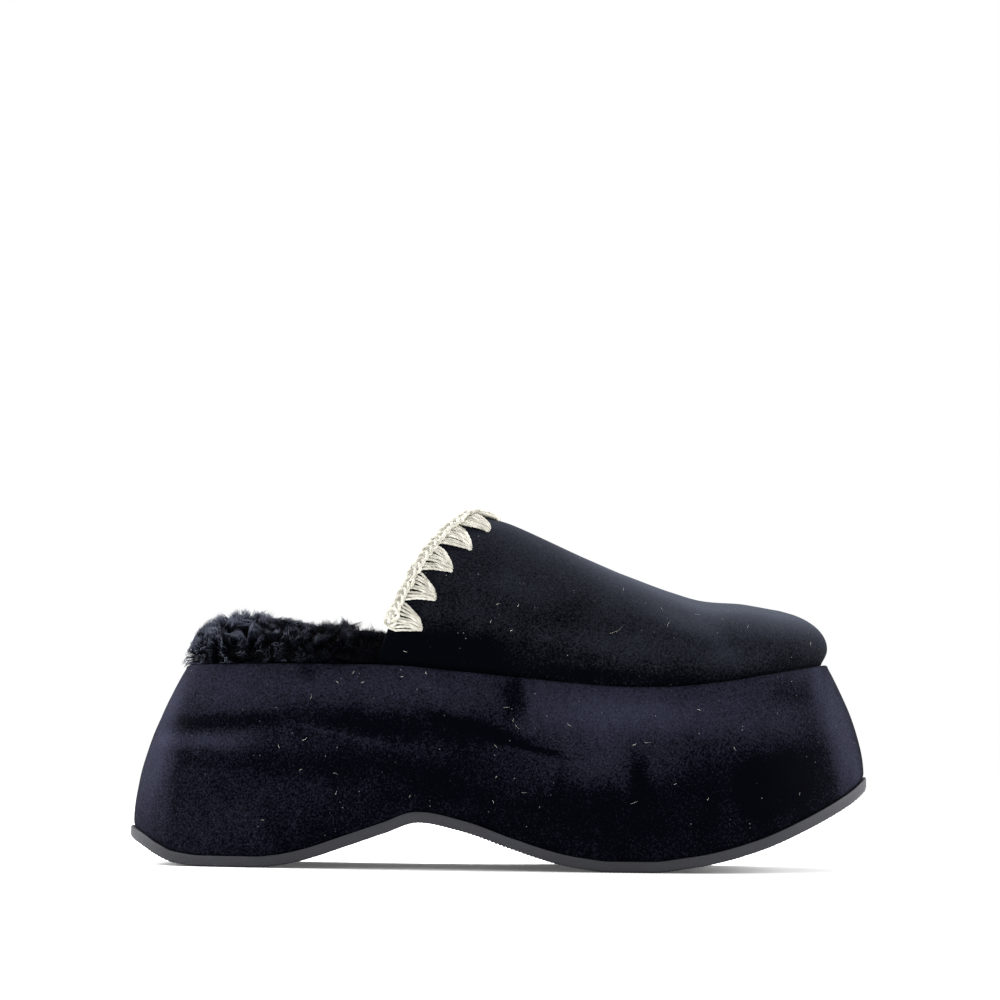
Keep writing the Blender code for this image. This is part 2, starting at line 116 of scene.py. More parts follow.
def half_breadths(angle, side_in):
    """Breadth beside the middle line on the outer and inner side: the plan's curve, less a draw-in
    that fades to the tips as the sine of the station angle to a power."""
    drawn = side_in * np.abs(np.sin(angle)) ** TIP_FADE
    outer = FOOTBED_BREADTH * smooth(angle_at(PLAN_ALONG), PLAN_OUTER, angle) - drawn
    inner = FOOTBED_BREADTH * smooth(angle_at(PLAN_ALONG), PLAN_INNER, angle) - drawn
    return outer, inner


widest = half_breadths(np.linspace(0, math.pi, 400), -SIDE_FLARE - SOLE_FLANGE)
MIDDLE = (widest[0].max() - widest[1].max()) / 2


def outline(angle, heel_in=0.0, toe_in=0.0, side_in=0.0):
    """The footbed's outline drawn in at heel, toe and sides: x, y of the outer side, y of the inner."""
    length = FOOTBED_LENGTH - heel_in - toe_in
    x = FOOTBED_START + heel_in + length * share_at(angle)
    outer, inner = half_breadths(angle, side_in)
    return x, MIDDLE - outer, MIDDLE + inner


def sole_under(x):
    """Height of the underside at x: the sum of the heel's, the arch's and the toe's wave."""
    along = np.clip((x - SOLE_START) / SOLE_LENGTH, 0, 1)
    waves = (HEEL_LIFT, HEEL_WAVE), (ARCH_RISE, ARCH_WAVE), (TOE_SPRING, TOE_WAVE)
    return sum(lift * smooth(*wave, along) for lift, wave in waves)


def sole_top(x):
    """Height of the upper face at x: the thickness is measured square to the wave's slope."""
    slope = (sole_under(x + 0.5 * MM) - sole_under(x - 0.5 * MM)) / MM
    return sole_under(x) + SOLE_THICKNESS * np.hypot(1, np.clip(slope, -0.8, 0.8))


def stations(pitch, start, length, tips=40):
    """Station angles a pitch apart along the length, with more of them crowded at the two tips."""
    even = angle_at(np.linspace(0, 1, round(length / pitch) + 1)[1:-1])
    crowd = np.linspace(0, even[0], tips + 2)[:-1]
    return np.concatenate([crowd, even, math.pi - crowd[::-1]])


def grid_faces(rows, columns, round_columns=False):
    """Quads between neighbouring points of a grid whose points are numbered row by row."""
    i, j = np.meshgrid(np.arange(rows - 1), np.arange(columns - (not round_columns)), indexing="ij")
    k = (j + 1) % columns
    corners = [i * columns + j, i * columns + k, (i + 1) * columns + k, (i + 1) * columns + j]
    return np.stack(corners, axis=-1).reshape(-1, 4)


def new_piece(name, points, faces, finishes, welded=True, sharp=None):
    """An object from points and arrays of faces. Coinciding points are merged, which closes the
    folded tips, and the faces are turned outwards."""
    mesh = bpy.data.meshes.new(name)
    points = np.asarray(points, np.float32).reshape(-1, 3)
    corners = np.concatenate([part.ravel() for part in faces]).astype(np.int32)
    sizes = np.concatenate([np.full(len(part), part.shape[1]) for part in faces])
    mesh.vertices.add(len(points))
    mesh.vertices.foreach_set("co", points.ravel())
    mesh.loops.add(len(corners))
    mesh.loops.foreach_set("vertex_index", corners)
    mesh.polygons.add(len(sizes))
    mesh.polygons.foreach_set("loop_start", (np.cumsum(sizes) - sizes).astype(np.int32))
    mesh.update(calc_edges=True)
    mesh.validate()
    if welded:
        work = bmesh.new()
        work.from_mesh(mesh)
        bmesh.ops.remove_doubles(work, verts=work.verts, dist=WELD_DISTANCE)
        bmesh.ops.dissolve_degenerate(work, edges=work.edges, dist=WELD_DISTANCE)
        bmesh.ops.recalc_face_normals(work, faces=work.faces)
        work.to_mesh(mesh)
        work.free()
    for finish in finishes:
        mesh.materials.append(finish)
    mesh.shade_smooth()
    if sharp:
        mesh.set_sharp_from_angle(angle=math.radians(sharp))
    made = bpy.data.objects.new(name, mesh)
    bpy.context.scene.collection.objects.link(made)
    return made


def fill(tree, made, **inputs):
    """Sets the inputs of a node, each given by name or by number, to a value or a link from a socket."""
    for key, value in inputs.items():
        socket = made.inputs[int(key[1:]) if key[1:].isdigit() else key.replace("_", " ")]
        if isinstance(value, bpy.types.NodeSocket):
            tree.links.new(value, socket)
        else:
            socket.default_value = value


def node(tree, kind, settings=None, **inputs):
    """A new node with settings, which are its own properties, and inputs."""
    made = tree.nodes.new(kind)
    for key, value in (settings or {}).items():
        setattr(made, key, value)
    fill(tree, made, **inputs)
    return made


def new_material(name, roughness, bump_strength, bump_height):
    """A material with its shader, its object coordinates and a bump that feeds the normal."""
    made = bpy.data.materials.new(name)
    made.use_nodes = True
    tree = made.node_tree
    shader = tree.nodes["Principled BSDF"]
    place = tree.nodes.new("ShaderNodeTexCoord")
    bump = node(tree, "ShaderNodeBump", Strength=bump_strength, Distance=bump_height)
    fill(tree, shader, Roughness=roughness, Normal=bump.outputs["Normal"])
    return made, tree, shader, place.outputs["Object"], bump.inputs["Height"]


def ramp(tree, factor, *stops):
    """A colour ramp through stops of (position, grey or colour)."""
    made = node(tree, "ShaderNodeValToRGB", Fac=factor)
    elements = made.color_ramp.elements
    while len(elements) < len(stops):
        elements.new(0.5)
    for element, (position, tone) in zip(elements, stops):
        element.position = position
        element.color = (*tone, 1) if isinstance(tone, tuple) else (tone, tone, tone, 1)
    return made.outputs["Color"]


def mixed(tree, factor, first, second, **settings):
    """The mix of two colours by a factor."""
    settings["data_type"] = "RGBA"
    return node(tree, "ShaderNodeMix", settings, _0=factor, _6=first, _7=second).outputs[2]


def new_group(name, inputs, outputs):
    """A node group with inputs of (label, kind, default) and outputs of (label, kind). Returned with
    the sockets that it is given and the node that takes its results."""
    made = bpy.data.node_groups.new(name, "ShaderNodeTree")
    for label, kind, default in inputs:
        socket = made.interface.new_socket(label, in_out="INPUT", socket_type="NodeSocket" + kind)
        if default is not None:
            socket.default_value = default
    for label, kind in outputs:
        made.interface.new_socket(label, in_out="OUTPUT", socket_type="NodeSocket" + kind)
    return made, made.nodes.new("NodeGroupInput").outputs, made.nodes.new("NodeGroupOutput")


# Fine grain that several finishes use: cloudy blotches and a close fibrous noise
grain, given, result = new_group(
    "grain",
    (("Place", "Vector", None), ("Blotch Scale", "Float", 30.0), ("Fibre Scale", "Float", 1500.0)),
    (("Blotch", "Float"), ("Fibre", "Float")),
)
for label, detail, roughness, distortion in (("Blotch", 4.0, 0.55, 0.6), ("Fibre", 3.0, 0.7, 0.3)):
    noise = node(
        grain,
        "ShaderNodeTexNoise",
        Vector=given["Place"],
        Scale=given[label + " Scale"],
        Detail=detail,
        Roughness=roughness,
        Distortion=distortion,
    )
    fill(grain, result, **{label: noise.outputs["Fac"]})


def grained(tree, place, blotch_scale, fibre_scale):
    """The outputs of the grain group at a place, with its two scales."""
    scales = {"Blotch_Scale": blotch_scale, "Fibre_Scale": fibre_scale}
    return node(tree, "ShaderNodeGroup", {"node_tree": grain}, Place=place, **scales).outputs


rubber, tree, shader, place, height = new_material("grey_rubber", 0.7, 0.35, 0.15 * MM)
rubber_grain = grained(tree, place, 60, 2200)
rubber_tone = ramp(
    tree,
    rubber_grain["Blotch"],
    (0.25, (0.010, 0.010, 0.014)),
    (0.55, (0.017, 0.0175, 0.025)),
    (0.85, (0.032, 0.033, 0.043)),
)
scuffs = ramp(tree, rubber_grain["Fibre"], (0.62, 0.0), (0.80, 0.5))
rubber_colour = mixed(tree, scuffs, rubber_tone, (0.060, 0.060, 0.070, 1))
rubber_rough = ramp(tree, rubber_grain["Blotch"], (0.2, 0.60), (0.8, 0.80))
fill(tree, shader, Base_Color=rubber_colour, Roughness=rubber_rough)
tree.links.new(rubber_grain["Fibre"], height)

angle = stations(0.32 * MM, SOLE_START, SOLE_LENGTH, 24)
middle_x = outline(angle, -HEEL_FLARE, -TOE_FLARE)[0]
run = np.concatenate([[0], np.cumsum(np.hypot(np.diff(middle_x), np.diff(sole_under(middle_x))))])
carved = RIB_DEPTH * (0.5 - 0.5 * np.cos(2 * math.pi * run / RIB_PITCH)) ** 0.8

# Lines of the outsole on one side: inset and lift in millimetres, share of the way up, rib's share
SOLE_LINES = (
    (24, 0, 0, 1), (9.0, 0, 0, 1), (8.4, 0.5, 0, 0), (7.2, 0.5, 0, 0), (6.6, 0, 0, 1), (0.5, 0, 0, 1),
    (0.12, 0.30, 0, 0.8), (-0.05, 0, 0.25, 0.1), (-0.05, 0, 0.6, 0.1),
)


def sole_line(inner, inset, lift, share, ribbed):
    """One line of the outsole from heel to toe, at its inset from the edge. Its height is a share of
    the way up through the rubber, with a lift and a share of the carved ribs added."""
    grown = inset - SOLE_FLANGE
    x, outer_y, inner_y = outline(angle, grown - HEEL_FLARE, grown - TOE_FLARE, grown - SIDE_FLARE)
    z = sole_under(x) + share * (sole_top(x) - sole_under(x)) + lift + ribbed * carved
    return np.stack([x, inner_y if inner else outer_y, z], axis=-1)


def sole_side(inner):
    """The outsole's lines on one side: ribbed underside, edge with a rounded lip, upper face."""
    lines = [sole_line(inner, inset * MM, lift * MM, *shares) for inset, lift, *shares in SOLE_LINES]
    for turn in (0, math.pi / 4, math.pi / 2):
        inset = LIP_ROUNDING * (1 - math.cos(turn))
        lines.append(sole_line(inner, inset, LIP_ROUNDING * (math.sin(turn) - 1), 1, 0))
    return lines


def both_sides(side_lines):
    """The lines of both sides as one grid that closes round the section."""
    return np.stack(side_lines(False) + side_lines(True)[::-1], axis=1)


lines = both_sides(sole_side)
outsole = new_piece("outsole_rubber", lines, [grid_faces(*lines.shape[:2], True)], [rubber], sharp=38)
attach(outsole, "root")
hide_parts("outsole")

# Platform
# A thick foam midsole wrapped in black microsuede, flared towards the floor and glued on the outsole.
# Hands have brushed its nap, so streaks that lie another way look lighter or darker.

PLATFORM_HEIGHT = 78 * MM
HEEL_BELLY = 1.8
TOE_BELLY = 1.7
EDGE_ROUNDING = 1.5 * MM
SKIN_GAP = 0.08 * MM
UNDULATION = 0.3 * MM
WRAP_STEPS = 44
# Bounds of the stored lay, which holds painted light and shade as well as the nap
NAP_AND_LIGHT_LEAST = -0.5
NAP_AND_LIGHT_MOST = 1.8

BED_ALONG = (0, 0.18, 0.32, 0.41, 0.52, 0.60, 0.68, 0.74, 0.82, 0.90, 1)
BED_HEIGHT = (1, 1.006, 1.003, 0.979, 0.946, 0.921, 0.905, 0.908, 0.934, 0.980, 1.040)

# Brush strokes in the nap: x, z, length and width in millimetres, tilt in degrees, lift. The three at x
# -136, -131 and 136, on the heel's and the toe's ends, are painted highlights of the rims.
OUTER_STROKES = (
    (-70, 69, 116, 11, 0, 0.12),
    (-106, 56, 47, 6, 3, -0.35),
    (-41, 55, 76, 10, -4, -0.28),
    (-8, 54, 46, 5, -16, -0.34),
    (13, 46.5, 26, 1.8, -14, -0.50),
    (-115, 48, 36, 5.5, 0, 0.30),
    (-61, 51, 42, 2.2, -13, 0.22),
    (-83, 40, 87, 9, -3, -0.12),
    (-26, 36, 54, 11, -15, -0.14),
    (-84, 24.5, 47, 20, 8, 0.10),
    # Painted highlight on the heel's rim
    (-131, 29.5, 9, 40, -8, 0.30),
    (5, 66, 9, 18, 10, -0.42),
    (31, 61, 54, 22, -3, 0.26),
    (84, 59, 69, 16, 2, 0.16),
    (31, 38.5, 40, 13, -5, 0.12),
    (53, 38, 7, 15, 5, -0.34),
    (33, 20.5, 69, 27, 0, -0.16),
    (105, 34, 27, 19, 10, -0.60),
    (91, 30, 65, 36, 0, -0.10),
    # Painted highlight on the toe's rim
    (136, 48, 17, 66, 15, 0.60),
    (113, 68.5, 16, 9, 0, -0.16),
    (-75, 75, 7, 7, 0, -0.22),
    (-35, 29, 30, 12, 4, -0.14),
    # Painted highlight on the heel's rim
    (-136, 46, 14, 72, -15, 0.48),
    (47, 42, 44, 17, -4, 0.12),
    (53, 60, 42, 12, -2, 0.18),
)
INNER_STROKES = (
    (-80, 66, 90, 12, -2, 0.24),
    (-96, 50, 46, 9, 8, -0.34),
    (-40, 54, 60, 7, -11, 0.26),
    (-58, 40, 40, 10, -16, -0.28),
    (-8, 62, 34, 15, 4, -0.30),
    (28, 56, 48, 16, 3, 0.30),
    (62, 44, 30, 9, -14, -0.30),
    (88, 58, 36, 10, 8, 0.24),
    (104, 36, 26, 18, 0, -0.36),
    (44, 30, 44, 12, 5, 0.12),
)


def footbed_share(x):
    """The share of the footbed's length that lies behind x."""
    return (x - FOOTBED_START) / FOOTBED_LENGTH


def bed_height(x):
    """Height of the platform's top face at x, as a curve through the shares of the bed table."""
    return PLATFORM_HEIGHT * smooth(BED_ALONG, BED_HEIGHT, footbed_share(x))


def undulation(x, z, side):
    """Gentle dents of a hand-wrapped foam: a sum of sines of x and z, with wave numbers in radians a
    metre and a phase for each side."""
    ripple = 0.5 * np.sin(110 * x + 60 * z + 2 * side)
    ripple = ripple + 0.3 * np.sin(230 * x - 140 * z + 4 * side)
    return UNDULATION * (ripple + 0.2 * np.sin(330 * z + 170 * x + side))


def strokes_at(x, z, strokes):
    """Sum of the brush strokes at x, z: each is its lift on a flattened bell, long along its tilt."""
    total = np.zeros_like(x)
    for along, up, length, width, tilt, lift in strokes:
        turn = math.radians(tilt)
        dx, dz = x - along * MM, z - up * MM
        u = (dx * math.cos(turn) + dz * math.sin(turn)) / (length * MM / 2)
        v = (dz * math.cos(turn) - dx * math.sin(turn)) / (width * MM / 2)
        wavy = 0.12 * np.sin(420 * dx + up) + 0.08 * np.sin(900 * dx + along)
        total += lift * np.exp(-(np.abs(u) ** 3.5)) * np.exp(-(np.abs(v + wavy) ** 2.6))
    return total


def vectors(items, key):
    """A vector of each vertex or face of a mesh, as rows of x, y and z."""
    values = np.empty(len(items) * 3, np.float32)
    items.foreach_get(key, values)
    return values.reshape(-1, 3)


def store(piece, name, values):
    """Stores a value for each point of a mesh under a name that its material reads."""
    layer = piece.data.attributes.new(name, "FLOAT", "POINT")
    layer.data.foreach_set("value", np.asarray(values, np.float32).ravel())


def paint_nap_and_light(piece, tone):
    """Stores the lay of the nap, with painted light and shade added, on each point of a mesh, as worked
    out by tone from x, y and z.
    """
    places = vectors(piece.data.vertices, "co").T.astype(float)
    store(piece, "nap_and_painted_light", np.clip(tone(*places), NAP_AND_LIGHT_LEAST, NAP_AND_LIGHT_MOST))


def reckon(tree, operation, *values):
    """The result of a mathematical operation on values and sockets."""
    inputs = {f"_{number}": value for number, value in enumerate(values)}
    return node(tree, "ShaderNodeMath", {"operation": operation}, **inputs).outputs[0]


# Nap of a microsuede: the painted lay, which holds painted light and shade too, blotches and fibres set
# its shade, and lint sits on it
suede, given, result = new_group(
    "suede_nap",
    (
        ("Place", "Vector", None),
        ("Lay", "Float", 0.5),
        ("Dark", "Color", (0.003, 0.003, 0.006, 1)),
        ("Light", "Color", (0.02, 0.02, 0.03, 1)),
        ("Blotchiness", "Float", 0.5),
        ("Lint Scale", "Float", 400.0),
    ),
    (("Colour", "Color"), ("Roughness", "Float"), ("Height", "Float")),
)
nap_grain = grained(suede, given["Place"], 42, 1300)
cloud = reckon(suede, "SUBTRACT", nap_grain["Blotch"], 0.5)
cloud = reckon(suede, "MULTIPLY_ADD", cloud, given["Blotchiness"], given["Lay"])
hairs = reckon(suede, "SUBTRACT", nap_grain["Fibre"], 0.5)
shade = reckon(suede, "MULTIPLY_ADD", hairs, 1.7, cloud)
shade = reckon(suede, "MAXIMUM", shade, 0.0)
cloth = mixed(suede, shade, given["Dark"], given["Light"], clamp_factor=False)
cells = node(suede, "ShaderNodeTexVoronoi", Vector=given["Place"], Scale=given["Lint Scale"])
speck = ramp(suede, cells.outputs["Distance"], (0.03, 1.0), (0.11, 0.0))
pick = ramp(suede, cells.outputs["Color"], (0.18, 1.0), (0.30, 0.0))
faint = reckon(suede, "MULTIPLY", reckon(suede, "MULTIPLY", speck, pick), 0.45)
linted = mixed(suede, faint, cloth, (0.42, 0.42, 0.45, 1))
matt = node(suede, "ShaderNodeMapRange", Value=nap_grain["Fibre"], To_Min=0.82, To_Max=0.98)
fill(suede, result, Colour=linted, Roughness=matt.outputs["Result"], Height=nap_grain["Fibre"])


def suede_material(name, dark, light, blotchiness, sheen):
    """A microsuede in two tones, with a soft sheen at grazing angles."""
    made, tree, shader, place, height = new_material(name, 0.9, 0.5, 0.25 * MM)
    nap_and_painted_light = node(
        tree,
        "ShaderNodeGroup",
        {"node_tree": suede},
        Place=place,
        Lay=node(tree, "ShaderNodeAttribute", {"attribute_name": "nap_and_painted_light"}).outputs["Fac"],
        Dark=(*dark, 1),
        Light=(*light, 1),
        Blotchiness=blotchiness,
    ).outputs
    fill(tree, shader, Base_Color=nap_and_painted_light["Colour"], Roughness=nap_and_painted_light["Roughness"], Sheen_Weight=sheen)
    fill(tree, shader, Specular_IOR_Level=0.02, Sheen_Roughness=0.13, Sheen_Tint=(0.86, 0.90, 1, 1))
    tree.links.new(nap_and_painted_light["Height"], height)
    return made


wrap = suede_material(
    "black_microsuede_wrap", (0.0005, 0.0006, 0.0020), (0.029, 0.030, 0.050), 0.40, 0.010
)

angle = stations(1.2 * MM, FOOTBED_START, FOOTBED_LENGTH, 16)


def wall_point(angle, down, inner, off=0.0):
    """A point of the platform's wall at a station and a drop from its top edge, off by a distance.
    The share of the flare is 1 - (1 - drop) to the power of the belly, steepest under the edge."""
    belly = HEEL_BELLY + (TOE_BELLY - HEEL_BELLY) * share_at(angle)
    top_x = outline(angle)[0]
    foot_x = outline(angle, -HEEL_FLARE, -TOE_FLARE, -SIDE_FLARE)[0]
    z = bed_height(top_x) - EDGE_ROUNDING
    z = z + (sole_top(foot_x) + SKIN_GAP - z) * down
    flare = 1 - (1 - down) ** belly
    dent = undulation(top_x, z, 2.0 if inner else 0.0) * np.sin(math.pi * down) ** 0.6
    inset = dent + 0.5 * MM * np.exp(-(((1 - down) / 0.02) ** 2)) - off
    x, outer_y, inner_y = outline(
        angle, inset - HEEL_FLARE * flare, inset - TOE_FLARE * flare, inset - SIDE_FLARE * flare
    )
    return np.stack([x, inner_y if inner else outer_y, z], axis=-1)


def wrap_side(inner):
    """The platform's lines on one side, from the outsole up its wall and over the rounded top edge."""
    lines = [wall_point(angle, down, inner) for down in np.linspace(1, 0, WRAP_STEPS + 1)]
    for turn in (math.pi / 8, math.pi / 4, 3 * math.pi / 8, math.pi / 2):
        back = EDGE_ROUNDING * (1 - math.cos(turn))
        x, outer_y, inner_y = outline(angle, back, back, back)
        z = bed_height(x) - EDGE_ROUNDING * (1 - math.sin(turn))
        lines.append(np.stack([x, inner_y if inner else outer_y, z], axis=-1))
    return lines


lines = both_sides(wrap_side)
platform = new_piece("platform_wrap", lines, [grid_faces(*lines.shape[:2], True)], [wrap], sharp=50)


def wrap_tone(x, y, z):
    """Lay of the wrap's nap, with painted light and shade: painted light near the top edge and round the
    heel, painted shade near the outsole, and the brush strokes.
    """
    rise = np.clip((z - sole_top(x)) / (bed_height(x) - sole_top(x)), 0, 1)
    # Painted light towards the top edge, which faces the top lamp, and painted shade towards the outsole
    base = 0.03 + 0.27 * np.clip((rise - 0.38) / 0.5, 0, 1)
    # Painted light round the heel's end, where the heel lamp falls
    base += 0.09 * np.exp(-(((x + 0.118) / 0.034) ** 2)) * np.clip(1.2 - rise, 0, 1)
    inner, outer = (strokes_at(x, z, table) for table in (INNER_STROKES, OUTER_STROKES))
    fade = np.clip(np.abs(y - MIDDLE) / (12 * MM), 0, 1)
    return base + np.where(y > MIDDLE, inner, outer) * fade


paint_nap_and_light(platform, wrap_tone)
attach(platform, "root")
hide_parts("platform")

# Fur footbed
# A curly shearling pile, black, glued on the platform and deepest behind the open heel.
# Its wool stands in clumps of wavy strands, matted where the foot rests and brushed up at the edge.

GAP = 0.3 * MM
FUR_DEPTH = 16 * MM
FUR_SETBACK = 2.5 * MM
FUR_SWELL = 2 * MM
FUR_DISH = 1.5 * MM
FUR_SIDE = 0.4
HEEL_ROLL = 13 * MM
TOE_ROLL = 3 * MM
SIDE_ROLL = 9 * MM
COVER_RUN = 14 * MM
UPPER_WALL = 2.6 * MM
UPPER_INSET = EDGE_ROUNDING
HEEL_TO_COLLAR = 77 * MM
COLLAR_FOOT = FOOTBED_START + HEEL_TO_COLLAR
CLUMP_COUNT = 620
STRAND_COUNT = 12500
STRAND_RADIUS = 0.19 * MM
STRAND_STEPS = 9
STRAND_ROOT = 2.2 * MM
WOOL_UNDER_VAMP = 42 * MM
BODY_SUNK = 1.6 * MM
BODY_LUMPS = 0.8 * MM

PILE_ALONG = (0, 0.10, 0.17, 0.25, 0.32, 0.45, 0.70, 1)
PILE_DEPTH = (0.90, 1, 0.80, 0.67, 0.60, 0.50, 0.42, 0.38)

# How far the wool stands over the body of the pile, in millimetres, along the footbed
WOOL_ALONG = (0, 0.03, 0.06, 0.085, 0.115, 0.14, 0.20, 0.225, 0.245, 0.265, 0.34, 0.40, 0.50)
WOOL_REACH = (5.4, 4.8, 5.4, 6.6, 5.8, 2.4, 2.6, 4.6, 7.0, 3.6, 3.8, 3.2, 2.5)

# How far the wool's outline leans forward over the heel, in millimetres, at heights in millimetres
HEEL_SLOPE = ((74, 78, 86, 91, 95, 99), (1.2, 0, 4.3, 7.0, 10.6, 17.0))

# How much painted light the wool's tips get, along the footbed
WOOL_PAINTED_LIGHT = ((0, 0.10, 0.20, 0.32), (3.9, 2.9, 1.7, 0.5))


def fur_face(angle, across, sunk=0.0):
    """A point of the pile's body, from -1 at its outer foot over 0 on its middle line to 1, sunk by
    a depth. Its side is a quarter turn whose radius is largest round the heel, and its top is
    dished along the middle."""
    out = np.abs(across)
    up = np.sin(math.pi / 2 * np.clip((1 - out) / FUR_SIDE, 0, 1))
    roll = 1 - np.sqrt(1 - up * up)
    swell = FUR_SETBACK - FUR_SWELL * np.sin(math.pi * up) + sunk
    heel = swell + HEEL_ROLL * roll
    hidden = UPPER_INSET + UPPER_WALL + 3 * GAP + TOE_ROLL * roll
    x = outline(angle, heel, hidden)[0]
    covered = np.clip((x - COLLAR_FOOT) / COVER_RUN + 1.2, 0, 1)
    covered = covered * covered * (3 - 2 * covered)
    side = swell + SIDE_ROLL * roll
    side = side + (hidden - side) * covered
    x, outer, inner = outline(angle, heel, hidden, side)
    middle = (outer + inner) / 2
    spread = np.clip(out / (1 - FUR_SIDE), 0, 1)
    y = middle + (np.where(across < 0, outer, inner) - middle) * spread
    depth = FUR_DEPTH * smooth(PILE_ALONG, PILE_DEPTH, share_at(angle)) - sunk
    z = bed_height(x) + GAP + depth * up - FUR_DISH * np.sin(angle) * (1 - spread)
    return np.stack(np.broadcast_arrays(x, y, z), axis=-1)


def unit(ways):
    """Directions of length one."""
    return ways / np.linalg.norm(ways, axis=-1, keepdims=True)


def differences(face, first, second, step):
    """How far a face's point moves when each of its two parameters goes from a step under its value
    to a step over it."""
    ahead = face(first + step, second) - face(first - step, second)
    return ahead, face(first, second + step) - face(first, second - step)


def fur_frame(angle, across):
    """Point, outward normal and forward tangent of the pile's body, by central differences."""
    ahead, over = differences(fur_face, angle, across, 1e-4)
    return fur_face(angle, across), unit(np.cross(ahead, over)), unit(ahead)


def fur_spots(rng, count, last_x):
    """Spots spread evenly over the pile's body as far as last_x: spots drawn evenly over the two
    parameters are kept with a chance that goes with the area each stands for."""
    angle = rng.uniform(0.03, angle_at(footbed_share(last_x)), 60 * count)
    across = rng.uniform(-0.999, 0.999, 60 * count)
    area = np.linalg.norm(np.cross(*differences(fur_face, angle, across, 1e-3)), axis=-1)
    keep = np.flatnonzero(rng.uniform(0, 1, len(area)) < area / np.quantile(area, 0.98))
    keep = keep[:count]
    return angle[keep], across[keep]


def crosswise(lines, guide):
    """Length of each step of many lines, their tangent, and two directions square to it, of which the
    first is square to the guide too."""
    along = np.gradient(lines, axis=1)
    length = np.linalg.norm(along, axis=-1, keepdims=True)
    along = along / length
    side = unit(np.cross(along, guide))
    return length[..., 0], along, side, np.cross(along, side)


def strand_tubes(lines, radius):
    """Closed three-sided tubes along many lines at once: the radius tapers to a point at each tip.
    The section is turned by two directions square to the line's tangent."""
    count, steps = lines.shape[:2]
    side, up = crosswise(lines, np.array([0.31, 0.57, 0.76]))[2:]
    taper = np.clip(1 - np.linspace(0, 1, steps) ** 2.2, 0, 1)[None, :, None] * radius[:, None, None]
    rings = []
    for corner in range(3):
        turn = 2 * math.pi * corner / 3
        rings.append(lines + taper * (math.cos(turn) * side + math.sin(turn) * up))
    rings = np.stack(rings, axis=2)[:, :-1]
    points = np.concatenate([rings.reshape(count, -1, 3), lines[:, -1:]], axis=1)
    quads = grid_faces(steps - 1, 3, True)
    tip = 3 * (steps - 1)
    last = tip - 3
    ends = [[last, last + 1, tip], [last + 1, last + 2, tip], [last + 2, last, tip], [2, 1, 0]]
    ends = np.array(ends)
    start = (np.arange(count) * (tip + 1))[:, None, None]
    return points.reshape(-1, 3), [(quads + start).reshape(-1, 4), (ends + start).reshape(-1, 3)]


wool, tree, shader, place, height = new_material("black_fur", 0.5, 0.3, 0.2 * MM)
wool_grain = grained(tree, place, 190, 1800)
# The tip attribute holds painted light and shade on the wool's strands
wool_painted_light = node(tree, "ShaderNodeAttribute", {"attribute_name": "tip"}).outputs["Fac"]
wool_cloud = ramp(tree, wool_grain["Blotch"], (0.35, 0.25), (0.65, 1.0))
wool_tone = ramp(
    tree,
    reckon(tree, "MULTIPLY", wool_painted_light, wool_cloud),
    (0.05, (0.0003, 0.0004, 0.0010)),
    (0.42, (0.0085, 0.0097, 0.0170)),
    (0.95, (0.116, 0.128, 0.172)),
)
wool_rough = ramp(tree, wool_grain["Fibre"], (0.3, 0.42), (0.7, 0.62))
fill(tree, shader, Base_Color=wool_tone, Roughness=wool_rough, Specular_IOR_Level=0.03)
tree.links.new(wool_grain["Fibre"], height)

# The body of the pile lies a little under the strands' tips and has soft lumps
rng = np.random.default_rng(31)
angle = np.linspace(0, math.pi, 241)
side = np.linspace(1, 1 - FUR_SIDE, 25)
across = np.concatenate([-side, np.linspace(-0.59, 0.59, 60), side[::-1]])
body = fur_face(*np.meshgrid(angle, across, indexing="ij"), sunk=BODY_SUNK)
x, y, z = body[..., 0], body[..., 1], body[..., 2]
lumps = np.sin(1150 * x + 3 * np.sin(700 * y)) * np.sin(1250 * y + 2 * np.sin(900 * x))
lumps = lumps + 0.5 * np.sin(2300 * x - 1900 * y)
over = np.clip((z - bed_height(x)) / (6 * MM), 0, 1) * np.sin(angle)[:, None]
body[..., 2] += BODY_LUMPS * lumps * over * (across[None, :] ** 2 < 0.99)
pile = new_piece("fur_base", body, [grid_faces(len(angle), len(across), True)], [wool])
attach(pile, "root")
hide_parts("fur_footbed")


